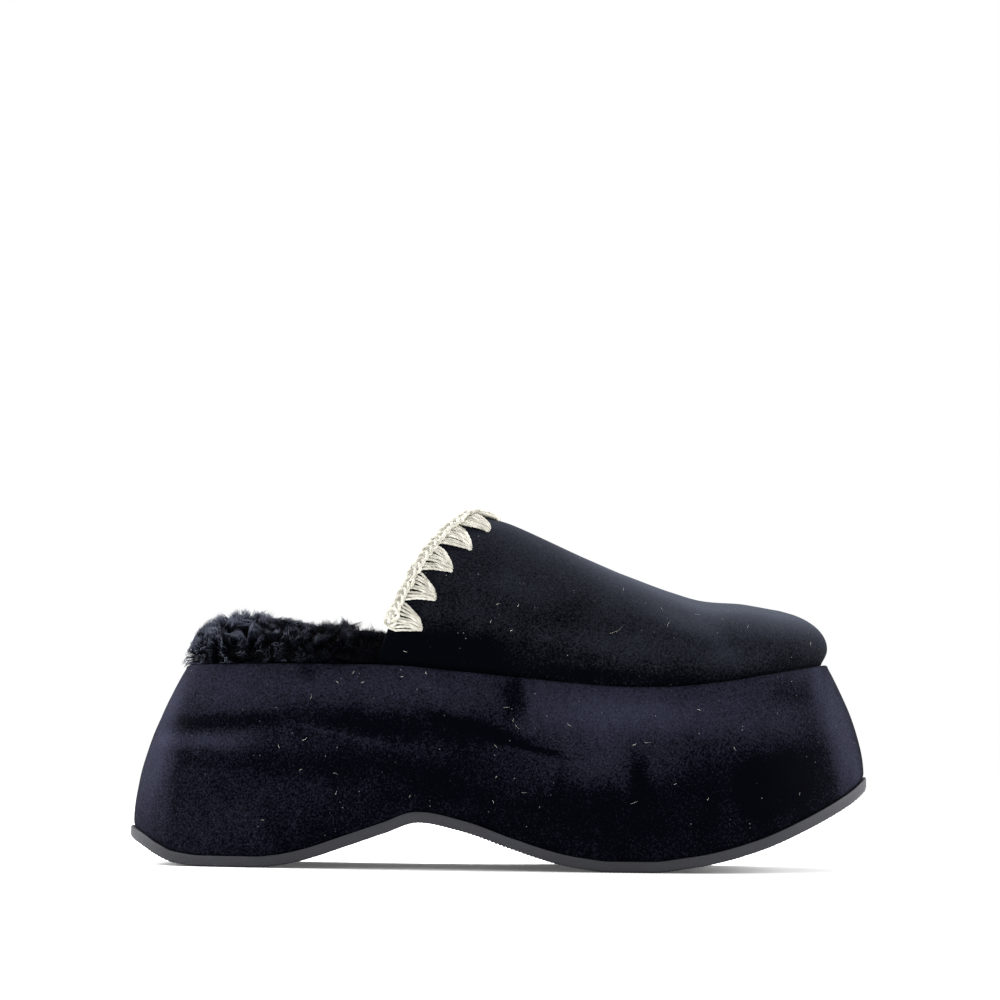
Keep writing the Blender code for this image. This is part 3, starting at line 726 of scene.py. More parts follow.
def wool_strands(rng):
    """Lines of the wool. A strand leaves its root along the normal and upwards, is drawn to its
    clump's tip, and winds round the clump's line in a helix that it shares with its neighbours."""
    last_x = COLLAR_FOOT + WOOL_UNDER_VAMP
    centre = fur_face(*fur_spots(rng, CLUMP_COUNT, last_x))
    root, normal, tangent = fur_frame(*fur_spots(rng, STRAND_COUNT, last_x))
    nearest = np.argmin(((root[:, None] - centre[None]) ** 2).sum(-1), axis=1)
    count = len(root)
    along = footbed_share(root[:, 0])
    reach = np.interp(along, WOOL_ALONG, WOOL_REACH) * MM
    reach = reach * rng.uniform(0.75, 1.12, CLUMP_COUNT)[nearest] * rng.uniform(0.8, 1.1, count)
    up = np.array([0, 0, 1.0])
    rear = np.clip(1 - along / 0.12, 0, 1)[:, None]
    flat = 1 - np.clip(normal[:, 2:], 0, 1)
    high = np.clip((root[:, 2] - bed_height(root[:, 0])) / (6 * MM), 0, 1)[:, None]
    low = 0.5 + 0.5 * np.maximum(high, 0.9 * rear)
    aim = normal * (1 - 0.45 * flat * high) + up * (0.55 + 0.35 * rear) * flat * high
    aim = unit(aim - up * (0.5 + 0.5 * rear) * flat * (1 - high))
    lean = rng.normal(0, 0.42, (CLUMP_COUNT, 2))[nearest]
    across_way = np.cross(normal, tangent)
    drift = tangent * lean[:, :1] + across_way * lean[:, 1:]
    t = np.linspace(0, 1, STRAND_STEPS + 1)[None, :, None]
    height = (reach * low[:, 0])[:, None, None]
    own = (root - STRAND_ROOT * normal)[:, None] + aim[:, None] * (height + STRAND_ROOT) * t
    own = own + drift[:, None] * height * t**2
    gather = (centre[nearest] - root)[:, None]
    loose = rng.uniform(0.35, 0.95, count)[:, None, None]
    own = own + gather * loose * t**1.3 * 0.8
    phase = rng.uniform(0, 2 * math.pi, CLUMP_COUNT)[nearest] + rng.normal(0, 0.5, count)
    turns = rng.uniform(0.9, 1.9, CLUMP_COUNT)[nearest]
    hand = np.where(rng.uniform(0, 1, CLUMP_COUNT) < 0.5, -1.0, 1.0)[nearest]
    wind = phase[:, None] + 2 * math.pi * (hand * turns)[:, None] * t[..., 0]
    curl = rng.uniform(0.55, 1.25, CLUMP_COUNT)[nearest] * rng.uniform(0.6, 1.2, count) * MM
    curl = curl[:, None] * t[..., 0] ** 0.7
    ring = tangent[:, None] * np.cos(wind)[..., None] + across_way[:, None] * np.sin(wind)[..., None]
    return own + ring * curl[..., None]


# The wool keeps inside the upper, within the slope of the heel and above the platform's edge
lines = wool_strands(rng)
x, y, z = lines[..., 0], lines[..., 1], lines[..., 2]
beside = outline(angle_at(np.clip(footbed_share(x), 0.001, 0.999)))
inside = np.clip((x - COLLAR_FOOT + 5 * MM) / (5 * MM), 0, 1)
room = (UPPER_INSET + UPPER_WALL + 0.9 * MM) * inside - 1.8 * MM * (1 - inside)
lines[..., 1] = np.clip(y, beside[1] + room, beside[2] - room)
brink = FOOTBED_START - 2.2 * MM + np.interp(z / MM, *HEEL_SLOPE) * MM
lines[..., 0] = np.maximum(x, brink + rng.uniform(-0.4, 1.0, (len(lines), 1)) * MM)
hang = np.clip((FOOTBED_START + 0.2 * MM - x) / (2 * MM), 0, 1)
lowest = bed_height(np.maximum(x, FOOTBED_START)) + (0.4 - 3.2 * hang) * MM
lines[..., 2] = np.maximum(z, lowest)
radius = STRAND_RADIUS * rng.uniform(0.7, 1.25, len(lines))
points, faces = strand_tubes(lines, radius)
curls = new_piece("fur_curls", points, faces, [wool], welded=False)

# Painted light: tips are painted lighter than roots, which get painted shade, most of all high up and
# round the heel, where the lamps fall
t = np.repeat(np.linspace(0, 1, STRAND_STEPS + 1), [3] * STRAND_STEPS + [1])
painted_tip_light = rng.uniform(0.25, 1, len(lines))[:, None] * t**1.5
painted_light_along = np.interp(footbed_share(lines[:, 0, 0]), *WOOL_PAINTED_LIGHT)
high = np.clip((lines[:, 0, 2] - bed_height(lines[:, 0, 0])) / (10 * MM), 0, 1)
high = np.maximum(high, np.clip((FOOTBED_START + 14 * MM - lines[:, 0, 0]) / (10 * MM), 0, 1))
painted_tip_light = painted_tip_light * (painted_light_along * (0.40 + 0.60 * high))[:, None]
store(curls, "tip", painted_tip_light)
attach(curls, "root")
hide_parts("fur_footbed")

# Upper
# One vamp of black microsuede on a soft lining, open at the collar, and drawn in along its foot
# where it is stitched down to the platform's edge. Its nap is brushed too.

INSTEP_RISE = 62.8 * MM
COLLAR_SLANT = 37 * MM
COLLAR_STRAIGHTNESS = 0.65
NOSE_LENGTH = 18 * MM
RIDGE_SHIFT = 2 * MM
TUCK_DEPTH = 1.3 * MM
TUCK_HEIGHT = 3.4 * MM
UPPER_ROWS = 130
UPPER_COLUMNS = 131

CROWN_ALONG = (0.31, 0.46, 0.49, 0.53, 0.59, 0.65, 0.70, 0.75, 0.80, 0.86, 0.92, 1)
CROWN_RISE = (1.130, 1, 0.980, 0.932, 0.845, 0.758, 0.686, 0.607, 0.532, 0.481, 0.398, 0.288)
CROWN_FULL = (0.06, 0.07, 0.08, 0.09, 0.10, 0.10, 0.11, 0.12, 0.13, 0.15, 0.18, 0.20)

# Brush strokes in the upper's nap: x, z, length and width in millimetres, tilt in degrees, lift. The
# last is painted shade low behind, under the trim and the fur.
UPPER_OUTER_STROKES = (
    (16, 99, 36, 22, -14, -0.11),
    (24, 89, 40, 9, -12, 0.10),
    (62, 84, 58, 11, -6, 0.16),
    (8, 108, 26, 10, -20, 0.16),
    (70, 96, 30, 7, -20, 0.22),
    (92, 82, 26, 8, -6, 0.18),
    (-12, 94, 34, 12, -8, 0.12),
    (-8, 86, 22, 10, 20, -0.12),
    (40, 75, 60, 4, -4, -0.20),
    # Painted shade under the trim and the fur
    (-30, 82, 66, 27, 0, -0.45),
)
UPPER_INNER_STROKES = (
    (26, 94, 40, 10, -12, -0.22),
    (60, 88, 36, 9, -16, 0.24),
    (4, 100, 28, 12, 16, 0.20),
    (88, 84, 26, 9, -8, -0.20),
)

# How much painted highlight lies along the ridge, along x in millimetres
CREST_PAINTED_HIGHLIGHT = ((-20, 20, 45, 80, 112), (0.50, 0.70, 1.8, 3.0, 2.2))

UPPER_HEEL, UPPER_TOE = outline(np.array([0, math.pi]), *[UPPER_INSET] * 3)[0]
COLLAR_ANGLE = float(angle_at((COLLAR_FOOT - UPPER_HEEL) / (UPPER_TOE - UPPER_HEEL)))


def ridge_height(x):
    """Height of the upper's outer face along its ridge at x."""
    return bed_height(x) + INSTEP_RISE * smooth(CROWN_ALONG, CROWN_RISE, footbed_share(x))


def upper_face(forward, around):
    """A point of the upper's outer face. Forward runs from 0 on the collar's edge to 1 on the toe's
    middle line, around from 0 on the outer feather line over the ridge to 1 on the inner one.
    The height follows the sine of the climb, the breadth its cosine made fuller. The arch leans
    back from its ridge at the collar and rounds down over the nose at the toe."""
    angle = COLLAR_ANGLE + forward * (math.pi - COLLAR_ANGLE)
    x_foot, outer, inner = outline(angle, *[UPPER_INSET] * 3)
    climb = math.pi * np.minimum(around, 1 - around)
    share = (x_foot - COLLAR_FOOT) / (UPPER_TOE - COLLAR_FOOT)
    x_ridge = COLLAR_FOOT + COLLAR_SLANT
    x_ridge = x_ridge + share * (UPPER_TOE - NOSE_LENGTH - x_ridge)
    full = smooth(CROWN_ALONG, CROWN_FULL, footbed_share(x_foot))
    reach = np.cos(climb) + full * np.sin(2 * climb)
    slant = COLLAR_STRAIGHTNESS * np.sin(climb) + (1 - COLLAR_STRAIGHTNESS) * np.sin(climb) ** 3
    lean = (1 - share) * slant + share * (1 - reach)
    x = x_foot + (x_ridge - x_foot) * lean
    y_ridge = (outer + inner) / 2 + RIDGE_SHIFT * (1 - share)
    side = np.where(around < 0.5, outer, inner)
    y = y_ridge + (side - y_ridge) * reach
    z_foot = bed_height(x_foot) + GAP
    z = z_foot + (ridge_height(x) - z_foot) * np.sin(climb)
    return np.stack(np.broadcast_arrays(x, y, z), axis=-1)


def upper_normal(forward, around):
    """The outward direction square to the outer face, taken just short of the toe's fold."""
    step = 1e-4
    return unit(np.cross(*differences(upper_face, np.minimum(forward, 1 - 10 * step), around, step)))


def vamp_skin(forward, around, off=0.0):
    """The outer face as sewn, off by a distance: drawn in along its foot by a bell of the height
    over the bed, and dented higher up by the undulation."""
    skin = upper_face(forward, around)
    square = upper_normal(forward, around)
    x, z = skin[..., 0], skin[..., 2]
    low = (z - bed_height(x)) / TUCK_HEIGHT
    tuck = TUCK_DEPTH * np.exp(-(low**2))
    dent = undulation(x, z, np.where(around < 0.5, 1.0, 3.0)) * 0.6 * np.clip(low - 1, 0, 1)
    middle = np.clip((1 - forward) / 0.06, 0, 1)
    skin = skin - square * np.stack([tuck, tuck * middle, 0 * tuck], axis=-1)
    return skin - square * (dent * middle - off)[..., None]


vamp = suede_material(
    "black_microsuede", (0.0005, 0.0008, 0.0018), (0.025, 0.028, 0.038), 0.40, 0.026
)
lining, tree, shader, place, height = new_material("black_lining", 0.95, 0.6, 0.4 * MM)
lining_grain = grained(tree, place, 120, 900)
lining_tone = ramp(
    tree, lining_grain["Fibre"], (0.3, (0.004, 0.004, 0.006)), (0.75, (0.018, 0.018, 0.022))
)
lining_rough = ramp(tree, lining_grain["Blotch"], (0.3, 0.85), (0.7, 1.0))
fill(tree, shader, Base_Color=lining_tone, Roughness=lining_rough, Sheen_Weight=0.05)
tree.links.new(lining_grain["Fibre"], height)

# One sheet runs over the inside, round the collar's rim and over the outside
around = (1 - np.cos(np.linspace(0, math.pi, UPPER_COLUMNS))) / 2
around = 0.5 * around + 0.5 * np.linspace(0, 1, UPPER_COLUMNS)
forward, around = np.meshgrid(np.linspace(0, 1, UPPER_ROWS), around, indexing="ij")
outside = vamp_skin(forward, around)
inside = upper_face(forward, around) - UPPER_WALL * upper_normal(forward, around)
inside[-1, :, 1] = upper_face(forward, around)[-1, :, 1]
for foot in (0, -1):
    inside[:, foot, 2] = bed_height(inside[:, foot, 0]) + 0.15 * MM
    outside[:, foot, 2] = bed_height(outside[:, foot, 0]) + 0.15 * MM
centre = (outside[0] + inside[0]) / 2
half = (outside[0] - inside[0]) / 2
behind = unit(outside[0] - outside[1])
thick = np.linalg.norm(half, axis=-1, keepdims=True)
rim = []
for turn in np.linspace(math.pi, 0, 9)[1:-1]:
    rim.append(centre + half * math.cos(turn) + behind * thick * math.sin(turn))
sheet = np.concatenate([inside[::-1], np.stack(rim), outside])

# Strips under both feet and at the rim's two ends close the sheet
rows, columns = sheet.shape[:2]
across_foot = []
first_out = rows - UPPER_ROWS
for column in (0, columns - 1):
    out_row = np.arange(first_out, rows - 1)
    in_row = UPPER_ROWS - 1 - (out_row - first_out)
    strip = np.stack([out_row, out_row + 1, in_row - 1, in_row], axis=-1) * columns + column
    across_foot.append(strip if column else strip[:, ::-1])
    end = np.arange(UPPER_ROWS - 1, first_out + 1) * columns + column
    across_foot.append(end[None, :])
faces = [grid_faces(rows, columns)] + across_foot
upper = new_piece("upper_vamp", sheet, faces, [vamp, lining], sharp=60)


def vamp_tone(x, y, z):
    """Lay of the upper's nap, with painted light and shade: painted shade low down behind and along the
    foot, painted light over the instep and the toe's top, and a painted highlight, standing in for
    sheen, in a narrow band along its ridge."""
    ridge = ridge_height(np.maximum(x, -10 * MM))
    rise = np.clip((z - bed_height(x)) / (ridge - bed_height(x)), 0, 1)
    # Painted shade low along the foot, where the upper meets the platform, and painted light higher up
    foot = np.clip((z - bed_height(x) - 2 * MM) / (15 * MM), 0, 1)
    base = 0.02 + 0.20 * foot**1.3 + 0.12 * rise
    # Painted light on the toe's top
    toe_top_light = np.clip((x - 55 * MM) / (50 * MM), 0, 1)
    base += 0.22 * toe_top_light * np.clip((rise - 0.45) / 0.55, 0, 1)
    # Painted highlight in a narrow band along the ridge, standing in for sheen
    crest_highlight = np.interp(x / MM, *CREST_PAINTED_HIGHLIGHT)
    base += crest_highlight * np.exp(-np.clip(ridge - z, 0, 1) / (5 * MM))
    inner, outer = (strokes_at(x, z, table) for table in (UPPER_INNER_STROKES, UPPER_OUTER_STROKES))
    return base + np.where(y > MIDDLE, inner, outer)


paint_nap_and_light(upper, vamp_tone)

# Faces turned towards a point in the room for the foot are lining
room = np.array([0.02, 0.002, 0.085], np.float32)
out_from_room = vectors(upper.data.polygons, "center") - room
inwards = (out_from_room * vectors(upper.data.polygons, "normal")).sum(-1) < 0
upper.data.polygons.foreach_set("material_index", inwards.astype(np.int32))
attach(upper, "root")
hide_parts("upper")

# Crocheted collar edge
# Cream yarn worked through the upper's edge: fans of nine stitches that gather to one hole each,
# a chain of loops along the edge, and a short turn-in on the lining. It is stitched to the upper.

TRIM_START = 0.055
FAN_COUNT = 11
FAN_FOOT = 0.6 * MM
FAN_REACH = 10.2 * MM
FAN_SKEW = 2.2 * MM
FAN_STITCHES = 9
FAN_TIP = 3.4 * MM
FAN_PUFF = 1.2 * MM
FAN_SET_IN = 1.7 * MM
EDGE_TURN = 1.0 * MM
TURNED_SHARE = 0.16
PLY_RADIUS = 0.31 * MM
PLY_ORBIT = 0.27 * MM
OVERLAP = 0.20 * MM
TWIST = 2 * math.pi / (5.5 * MM)
CHAIN_SET_IN = 2.6 * MM
CHAIN_PITCH = 2.8 * MM
CHAIN_BACK = 0.75 * MM
CHAIN_WIDTH = 1.95 * MM
CHAIN_PLY = 0.42 * MM
TURN_IN = 2.6 * MM

# How far each fan's tip leans to the ridge, in millimetres, by its share of the way down the edge
FAN_LEAN = ((0, 0.18, 0.36, 0.55, 0.73, 0.91), (0, 0.6, 1.6, 1.7, 0.8, 0.5))


def collar_point(around, back, out):
    """A point beside the collar's edge: back along the upper's face, square to the edge, and out of
    it. The way back is found from the face's two slopes at the edge."""
    step = 1e-4
    ahead, edge = (move / (2 * step) for move in differences(upper_face, 0.0, around, step))
    drift = (ahead * edge).sum(-1) / (edge * edge).sum(-1)
    pace = np.linalg.norm(ahead - drift[..., None] * edge, axis=-1)
    forward, beside = back / pace, around - back * drift / pace
    return upper_face(forward, beside) + np.asarray(out)[..., None] * upper_normal(forward, beside)


fine = np.linspace(TRIM_START, 1 - TRIM_START, 800)
edge_run = np.linalg.norm(np.diff(upper_face(0.0, fine), axis=0), axis=1)
edge_run = np.concatenate([[0], np.cumsum(edge_run)])
EDGE_LENGTH = edge_run[-1]
FAN_PITCH = EDGE_LENGTH / FAN_COUNT


def edge_point(run, back, out):
    """A point at a run along the collar's edge, back from it and out of it."""
    return collar_point(np.interp(run, edge_run, fine), back, out)


def plied(lines, guide, phase):
    """Three plies wound round each line: each is offset from the line by the twist times the length
    run so far, in the plane of two directions square to the line."""
    length, _, side, up = crosswise(lines, guide)
    so_far = np.cumsum(length, axis=1)
    plies = []
    for ply in range(3):
        wind = (TWIST * so_far + phase[:, None] + 2 * math.pi * ply / 3)[..., None]
        plies.append(lines + PLY_ORBIT * (np.cos(wind) * side + np.sin(wind) * up))
    return np.concatenate(plies)


def yarn_tubes(lines, guide, radius, sides=6):
    """Closed tubes along many lines at once, with a point at each end to close them."""
    count, steps = lines.shape[:2]
    along, side, up = crosswise(lines, guide)[1:]
    turn = 2 * math.pi * np.arange(sides) / sides
    ring = np.cos(turn)[:, None] * side[:, :, None] + np.sin(turn)[:, None] * up[:, :, None]
    rings = lines[:, :, None] + radius * ring
    ends = np.stack([lines[:, 0] - along[:, 0] * radius, lines[:, -1] + along[:, -1] * radius], axis=1)
    points = np.concatenate([rings.reshape(count, -1, 3), ends], axis=1)
    quads = grid_faces(steps, sides, True)
    j = np.arange(sides)
    k = (j + 1) % sides
    first, last = sides * steps, sides * steps + 1
    start_cap = np.stack([k, j, np.full(sides, first)], axis=-1)
    end_cap = np.stack([j, k, np.full(sides, last)], axis=-1)
    end_cap[:, :2] += sides * (steps - 1)
    start = (np.arange(count) * points.shape[1])[:, None, None]
    caps = np.concatenate([start_cap, end_cap])
    return points.reshape(-1, 3), [(quads + start).reshape(-1, 4), (caps + start).reshape(-1, 3)]


cream, tree, shader, place, height = new_material("cream_yarn", 0.85, 0.45, 0.12 * MM)
cream_grain = grained(tree, place, 260, 5200)
yarn_shade = node(tree, "ShaderNodeAttribute", {"attribute_name": "shade"}).outputs["Fac"]
cream_tone = ramp(
    tree,
    reckon(tree, "MULTIPLY_ADD", yarn_shade, 0.45, cream_grain["Blotch"]),
    (0.25, (0.27, 0.25, 0.20)),
    (0.60, (0.52, 0.50, 0.43)),
    (1.10, (0.80, 0.78, 0.70)),
)
cream_rough = ramp(tree, cream_grain["Fibre"], (0.3, 0.70), (0.7, 0.92))
fill(tree, shader, Base_Color=cream_tone, Roughness=cream_rough, Sheen_Weight=0.15)
tree.links.new(cream_grain["Fibre"], height)

# A stitch starts on the lining, turns round the edge and runs forward to its fan's tip, where it
# dips into the hole that it shares with the other stitches of its fan
rng = np.random.default_rng(7)
fan = np.repeat(np.arange(FAN_COUNT), FAN_STITCHES)
place_in_fan = np.tile(np.arange(FAN_STITCHES), FAN_COUNT)
spread = (place_in_fan + 0.5) / FAN_STITCHES - 0.5
middle = (fan + 0.5) * FAN_PITCH
off_ridge = 2 * middle / EDGE_LENGTH - 1
skew = np.interp(np.abs(off_ridge), *FAN_LEAN) * MM * -np.sign(off_ridge)
skew = skew + rng.normal(0, 0.3 * MM, FAN_COUNT)[fan]
down = np.clip(3 * off_ridge, -1, 1) * spread
reach = FAN_REACH * (1 + rng.normal(0, 0.03, FAN_COUNT)[fan]) - 0.35 * MM * (2 * spread) ** 2
reach = reach + FAN_SKEW * down
t = np.linspace(0, 1, 24)[None, :]
inwards = np.clip((TURNED_SHARE - t) / TURNED_SHARE, 0, 1)
outwards = np.clip((t - TURNED_SHARE) / (1 - TURNED_SHARE), 0, 1)
apart = (EDGE_TURN + FAN_FOOT) / (EDGE_TURN + FAN_REACH)
gather = np.clip((outwards - apart) / (1 - apart), 0, 1) ** 1.05
bow = 0.35 * MM * np.sign(spread)[:, None] * np.abs(2 * spread[:, None]) ** 2
bow = bow * np.sin(math.pi * outwards)
slack = rng.normal(0, 0.62 * MM, len(fan))[:, None] * np.sqrt(outwards) * (1 - outwards) ** 2
slack = slack + 0.12 * MM * np.sin(9 * outwards + rng.uniform(0, 6, len(fan))[:, None])
foot_run = middle[:, None] + spread[:, None] * FAN_PITCH * 0.97
tip_run = (middle + skew)[:, None] + spread[:, None] * FAN_TIP
arch = 0.6 * MM * -np.clip(3 * off_ridge, -1, 1)[:, None] * np.sin(math.pi * outwards)
run = foot_run + (tip_run - foot_run) * gather + bow + slack + arch
run = np.clip(run, FAN_SET_IN, EDGE_LENGTH - FAN_SET_IN)
turned = TURN_IN * inwards**1.5 - EDGE_TURN * np.sin(math.pi / 2 * (1 - inwards))
back = np.where(t < TURNED_SHARE, turned, (reach[:, None] + EDGE_TURN) * outwards - EDGE_TURN)
puff = FAN_PUFF * np.sin(math.pi * np.clip(outwards, 0, 1) ** 0.8) ** 0.7
crown = (1 - 0.35 * (2 * spread[:, None]) ** 2) * puff
lift = rng.uniform(0.7, 1.2, len(fan))[:, None] * crown
over = OVERLAP * np.where(place_in_fan % 2, 1, -1)[:, None] * np.sin(math.pi / 2 * outwards)
out = 0.55 * MM + lift + over
under = -UPPER_WALL - 0.45 * MM
out = np.where(t < TURNED_SHARE, 0.55 * MM * (1 - inwards) + under * inwards, out)
out = out - 1.3 * MM * np.clip((t - 0.93) / 0.07, 0, 1)
stitches = edge_point(run, back, out)
edge_way = unit(edge_point(run + 0.2 * MM, back, out) - stitches)
plies = plied(stitches, edge_way, rng.uniform(0, 6, len(stitches)))
fan_points, fan_faces = yarn_tubes(plies, np.tile(edge_way, (3, 1, 1)), PLY_RADIUS)

# Each link of the chain has two legs that part and close again over the start of the next link
CHAIN_RUN = EDGE_LENGTH - 2 * CHAIN_SET_IN
links = int(CHAIN_RUN / CHAIN_PITCH)
link = np.repeat(np.arange(links), 2)
leg = np.tile([-1.0, 1.0], links)[:, None]
t = np.linspace(0, 1, 12)[None, :]
run = CHAIN_SET_IN + (link[:, None] + 0.5 + 1.75 * (t - 0.5)) * (CHAIN_RUN / links)
run = np.clip(run, CHAIN_SET_IN, CHAIN_SET_IN + CHAIN_RUN)
loose = rng.normal(0, 1, (links, 4))[link][:, :, None]
fuller = 1 + 0.16 * loose[:, 0]
sway = leg * CHAIN_WIDTH * fuller * np.sin(math.pi * t) ** 0.8 + 0.22 * MM * loose[:, 1]
rise = 0.35 * MM + 0.75 * MM * t - 0.6 * MM * (2 * t - 1) ** 6 + 0.18 * MM * loose[:, 2]
tilt = math.radians(28)
back = -CHAIN_BACK + sway * math.cos(tilt) - rise * math.sin(tilt)
out = 1.15 * MM + sway * math.sin(tilt) + rise * math.cos(tilt)
loops = edge_point(run, back, out)
outward = unit(edge_point(run, back, out + 0.3 * MM) - loops)
shiver = 0.10 * MM * np.sin(40 * t + rng.uniform(0, 6, len(loops))[:, None])
loops = loops + shiver[..., None] * outward
plies = plied(loops, outward, rng.uniform(0, 6, len(loops)))
chain_points, chain_faces = yarn_tubes(plies, np.tile(outward, (3, 1, 1)), CHAIN_PLY)

trim_points = np.concatenate([fan_points, chain_points])
shifted = [part + len(fan_points) for part in chain_faces]
trim = new_piece("crochet_yarn", trim_points, fan_faces + shifted, [cream], welded=False)
strands = np.concatenate([rng.uniform(0, 1, 3 * len(stitches)), rng.uniform(0, 0.8, 3 * len(loops))])
sizes = []
for points, yarns in ((fan_points, stitches), (chain_points, loops)):
    sizes += [len(points) // (3 * len(yarns))] * (3 * len(yarns))
store(trim, "shade", np.repeat(strands, sizes))
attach(trim, "root")
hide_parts("collar_trim")

# Lint
# Short pale fibres shed by the yarn lie on the suede, held in its nap. They are fine loose hairs,
# a millimetre or two long, with a few longer ones.

LINT_RADIUS = 0.062 * MM
LINT_SHADE = 0.3

# Fibres seen on the outer side: x, z and length in millimetres, heading in degrees
WALL_LINT = (
    (-57, 75.5, 1.5, 60), (-63, 71.4, 1.3, -40), (-53, 71.3, 1.1, 20), (-73, 65.5, 2.2, 85),
    (-38, 73.7, 1.4, 10), (-29, 74.9, 1.2, -60), (2, 62.2, 2.4, 4), (7, 55, 3.4, -38),
    (5, 57.6, 1.6, 70), (-2, 47.3, 1.4, -50), (-85, 46, 1.5, -60), (-75, 49.1, 2.6, 35),
    (-76, 37.3, 1.3, 30), (-63, 29.3, 1.8, 75), (-63, 36, 2, -20), (-34, 27.7, 1.2, 50),
    (-90, 17.6, 1.3, -15), (9, 29.7, 2.2, 0), (-1, 35.7, 1.2, 60), (-3, 26.2, 1.4, -70),
    (76, 62.3, 1.3, -30), (26, 55.5, 2, -28), (56, 49.5, 2.3, 5), (51, 48.4, 1.5, 35),
    (90, 47.3, 1.8, -55), (67, 33.4, 1.2, 20), (79, 28, 1.4, 70), (51, 26.6, 3.2, 25),
    (115, 30.7, 1.2, 80), (113, 73.6, 1.1, 30),
)
UPPER_LINT = (
    (-37, 83.5, 1.6, -15), (-1, 101.8, 1.6, 20), (6, 101.6, 1.4, 70), (-4, 95.6, 1.5, 80),
    (4, 92.3, 1.3, 30), (47, 108.9, 1.4, 80), (62, 100.9, 2, -45), (44, 92.8, 6.2, 31),
    (64, 94.9, 2.6, 60), (76, 99, 2.6, -4), (95, 94.9, 1.9, 75), (121, 89.1, 1.4, 80),
)


def lint_lines(face, first, second, spots, rng):
    """Lines of fibres on a face of two parameters. Each is centred on the grid point nearest to its
    spot in x and z. Its heading and its bow, a parabola, are turned into steps of the two
    parameters by the face's own slopes."""
    spots = np.array(spots, float)
    flat = face(*np.meshgrid(first, second, indexing="ij")).reshape(-1, 3)
    far = (flat[:, 0] - spots[:, :1] * MM) ** 2 + (flat[:, 2] - spots[:, 1:2] * MM) ** 2
    nearest = np.argmin(far, axis=1)
    p, q = first[nearest // len(second)], second[nearest % len(second)]
    step = 1e-3
    along_p, along_q = (move / (2 * step) for move in differences(face, p, q, step))
    cross = along_p[:, 0] * along_q[:, 2] - along_p[:, 2] * along_q[:, 0]
    length = spots[:, 2] * MM
    heading = np.radians(spots[:, 3])
    s = np.linspace(-0.5, 0.5, 9)[None, :]
    bow = rng.uniform(-0.22, 0.22, len(spots))[:, None] * (1 - 4 * s * s)
    dx = length[:, None] * (np.cos(heading)[:, None] * s - np.sin(heading)[:, None] * bow)
    dz = length[:, None] * (np.sin(heading)[:, None] * s + np.cos(heading)[:, None] * bow)
    p_step = (dx * along_q[:, 2:] - dz * along_q[:, :1]) / cross[:, None]
    q_step = (dz * along_p[:, :1] - dx * along_p[:, 2:]) / cross[:, None]
    off = 0.10 * MM + rng.uniform(0, 0.25, len(spots))[:, None] * MM * (1 - 4 * s * s)
    return face(p[:, None] + p_step, q[:, None] + q_step, off)


def wall_face(inner):
    """The platform's wall on one side as a face of a station angle and a drop."""
    return lambda p, q, off=0.0: wall_point(p, np.clip(q, 0, 1), inner, off)


# The fibres on the inner side, which isn't seen, are scattered evenly
rng = np.random.default_rng(19)
wall_angles = angle_at(np.linspace(0.01, 0.99, 260))
drops = np.linspace(0.01, 0.97, 80)
forwards = np.linspace(0.02, 0.96, 200)
far_ranges = ((-115, 115), (24, 70), (1.0, 2.6), (-90, 90))
far_wall = np.stack([rng.uniform(*ends, 26) for ends in far_ranges], axis=-1)
far_upper = far_wall[:12] * (0.5, 0.35, 1, 1) + (45, 80, 0, 0)
lines = np.concatenate(
    [
        lint_lines(wall_face(False), wall_angles, drops, WALL_LINT, rng),
        lint_lines(wall_face(True), wall_angles, drops, far_wall, rng),
        lint_lines(vamp_skin, forwards, np.linspace(0.02, 0.48, 120), UPPER_LINT, rng),
        lint_lines(vamp_skin, forwards, np.linspace(0.52, 0.98, 120), far_upper, rng),
    ]
)
stretch = np.linalg.norm(lines[:, -1] - lines[:, 0], axis=-1) / MM
radius = LINT_RADIUS * rng.uniform(0.8, 1.3, len(lines)) * np.clip(1.7 / stretch, 0.55, 1.5)
points, faces = strand_tubes(lines, radius)
lint_piece = new_piece("lint_fibres", points, faces, [cream], welded=False)
store(lint_piece, "shade", np.full(len(points), LINT_SHADE))
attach(lint_piece, "root")

# Floor, light and camera
# A plain white studio floor under an even white sky, with three soft lamps. The camera stands low
# at the outer side of the shoe, and looks a little up, as in the photograph.

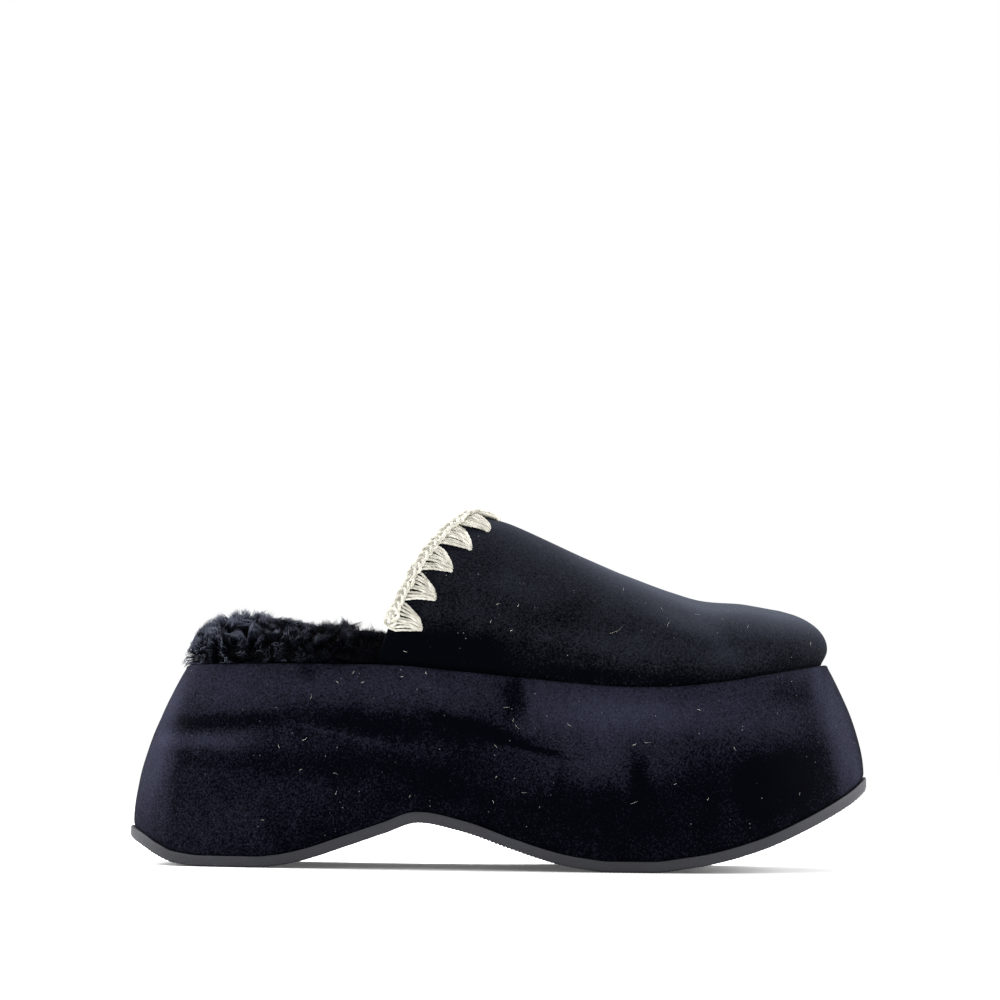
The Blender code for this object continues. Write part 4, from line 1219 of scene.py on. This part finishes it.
angle = np.linspace(0, 2 * math.pi, 97)[:-1]
disc = np.stack([6 * np.cos(angle), 6 * np.sin(angle), 0 * angle], axis=-1)
paint = bpy.data.materials.new("pale_floor")
paint.use_nodes = True
shader = paint.node_tree.nodes["Principled BSDF"]
fill(paint.node_tree, shader, Base_Color=(0.96, 0.96, 0.96, 1), Roughness=1, Specular_IOR_Level=0)
fill(paint.node_tree, shader, Emission_Color=(1, 1, 1, 1), Emission_Strength=0.08)
floor = new_piece("floor", disc, [np.arange(96)[None, :]], [paint], welded=False)

scene = bpy.context.scene
world = bpy.data.worlds.new("white_sky")
world.use_nodes = True
sky = world.node_tree.nodes["Background"]
fill(world.node_tree, sky, Color=(1, 1, 1, 1), Strength=1.0)
scene.world = world
scene.view_settings.view_transform = "Standard"

for name, spot, aim, size, power in (
    ("lamp_heel", (-1.1, 0.35, 0.75), (-0.05, 0, 0.06), 0.6, 22),
    ("lamp_toe", (1.1, 0.3, 0.6), (0.05, 0, 0.06), 0.6, 14),
    ("lamp_top", (-0.1, 0.5, 1.3), (0, 0, 0.06), 0.8, 14),
):
    light = bpy.data.lights.new(name, "AREA")
    light.shape = "DISK"
    light.size = size
    light.energy = power
    lamp = bpy.data.objects.new(name, light)
    scene.collection.objects.link(lamp)
    way = np.array(aim) - np.array(spot)
    lamp.location = spot
    yaw = math.atan2(way[1], way[0]) - math.pi / 2
    pitch = math.atan2(way[2], math.hypot(way[0], way[1]))
    lamp.rotation_euler = (math.pi / 2 + pitch, 0, yaw)

VIEW_DISTANCE = 1.4
CAMERA_HEIGHT = 0.045
FRAME_WIDTH = 0.3957
PITCH = 4.08
ROLL = 0.64
lens = bpy.data.cameras.new("camera")
lens.sensor_width = 36
lens.lens = 36 * VIEW_DISTANCE / FRAME_WIDTH
lens.clip_end = 50
lens.dof.use_dof = False
camera = bpy.data.objects.new("camera", lens)
camera.location = (-0.0011, -VIEW_DISTANCE, CAMERA_HEIGHT)
camera.rotation_mode = "XYZ"
camera.rotation_euler = (math.radians(90 + PITCH), 0, 0)
camera.rotation_euler.rotate_axis("Z", math.radians(ROLL))
scene.collection.objects.link(camera)
scene.camera = camera
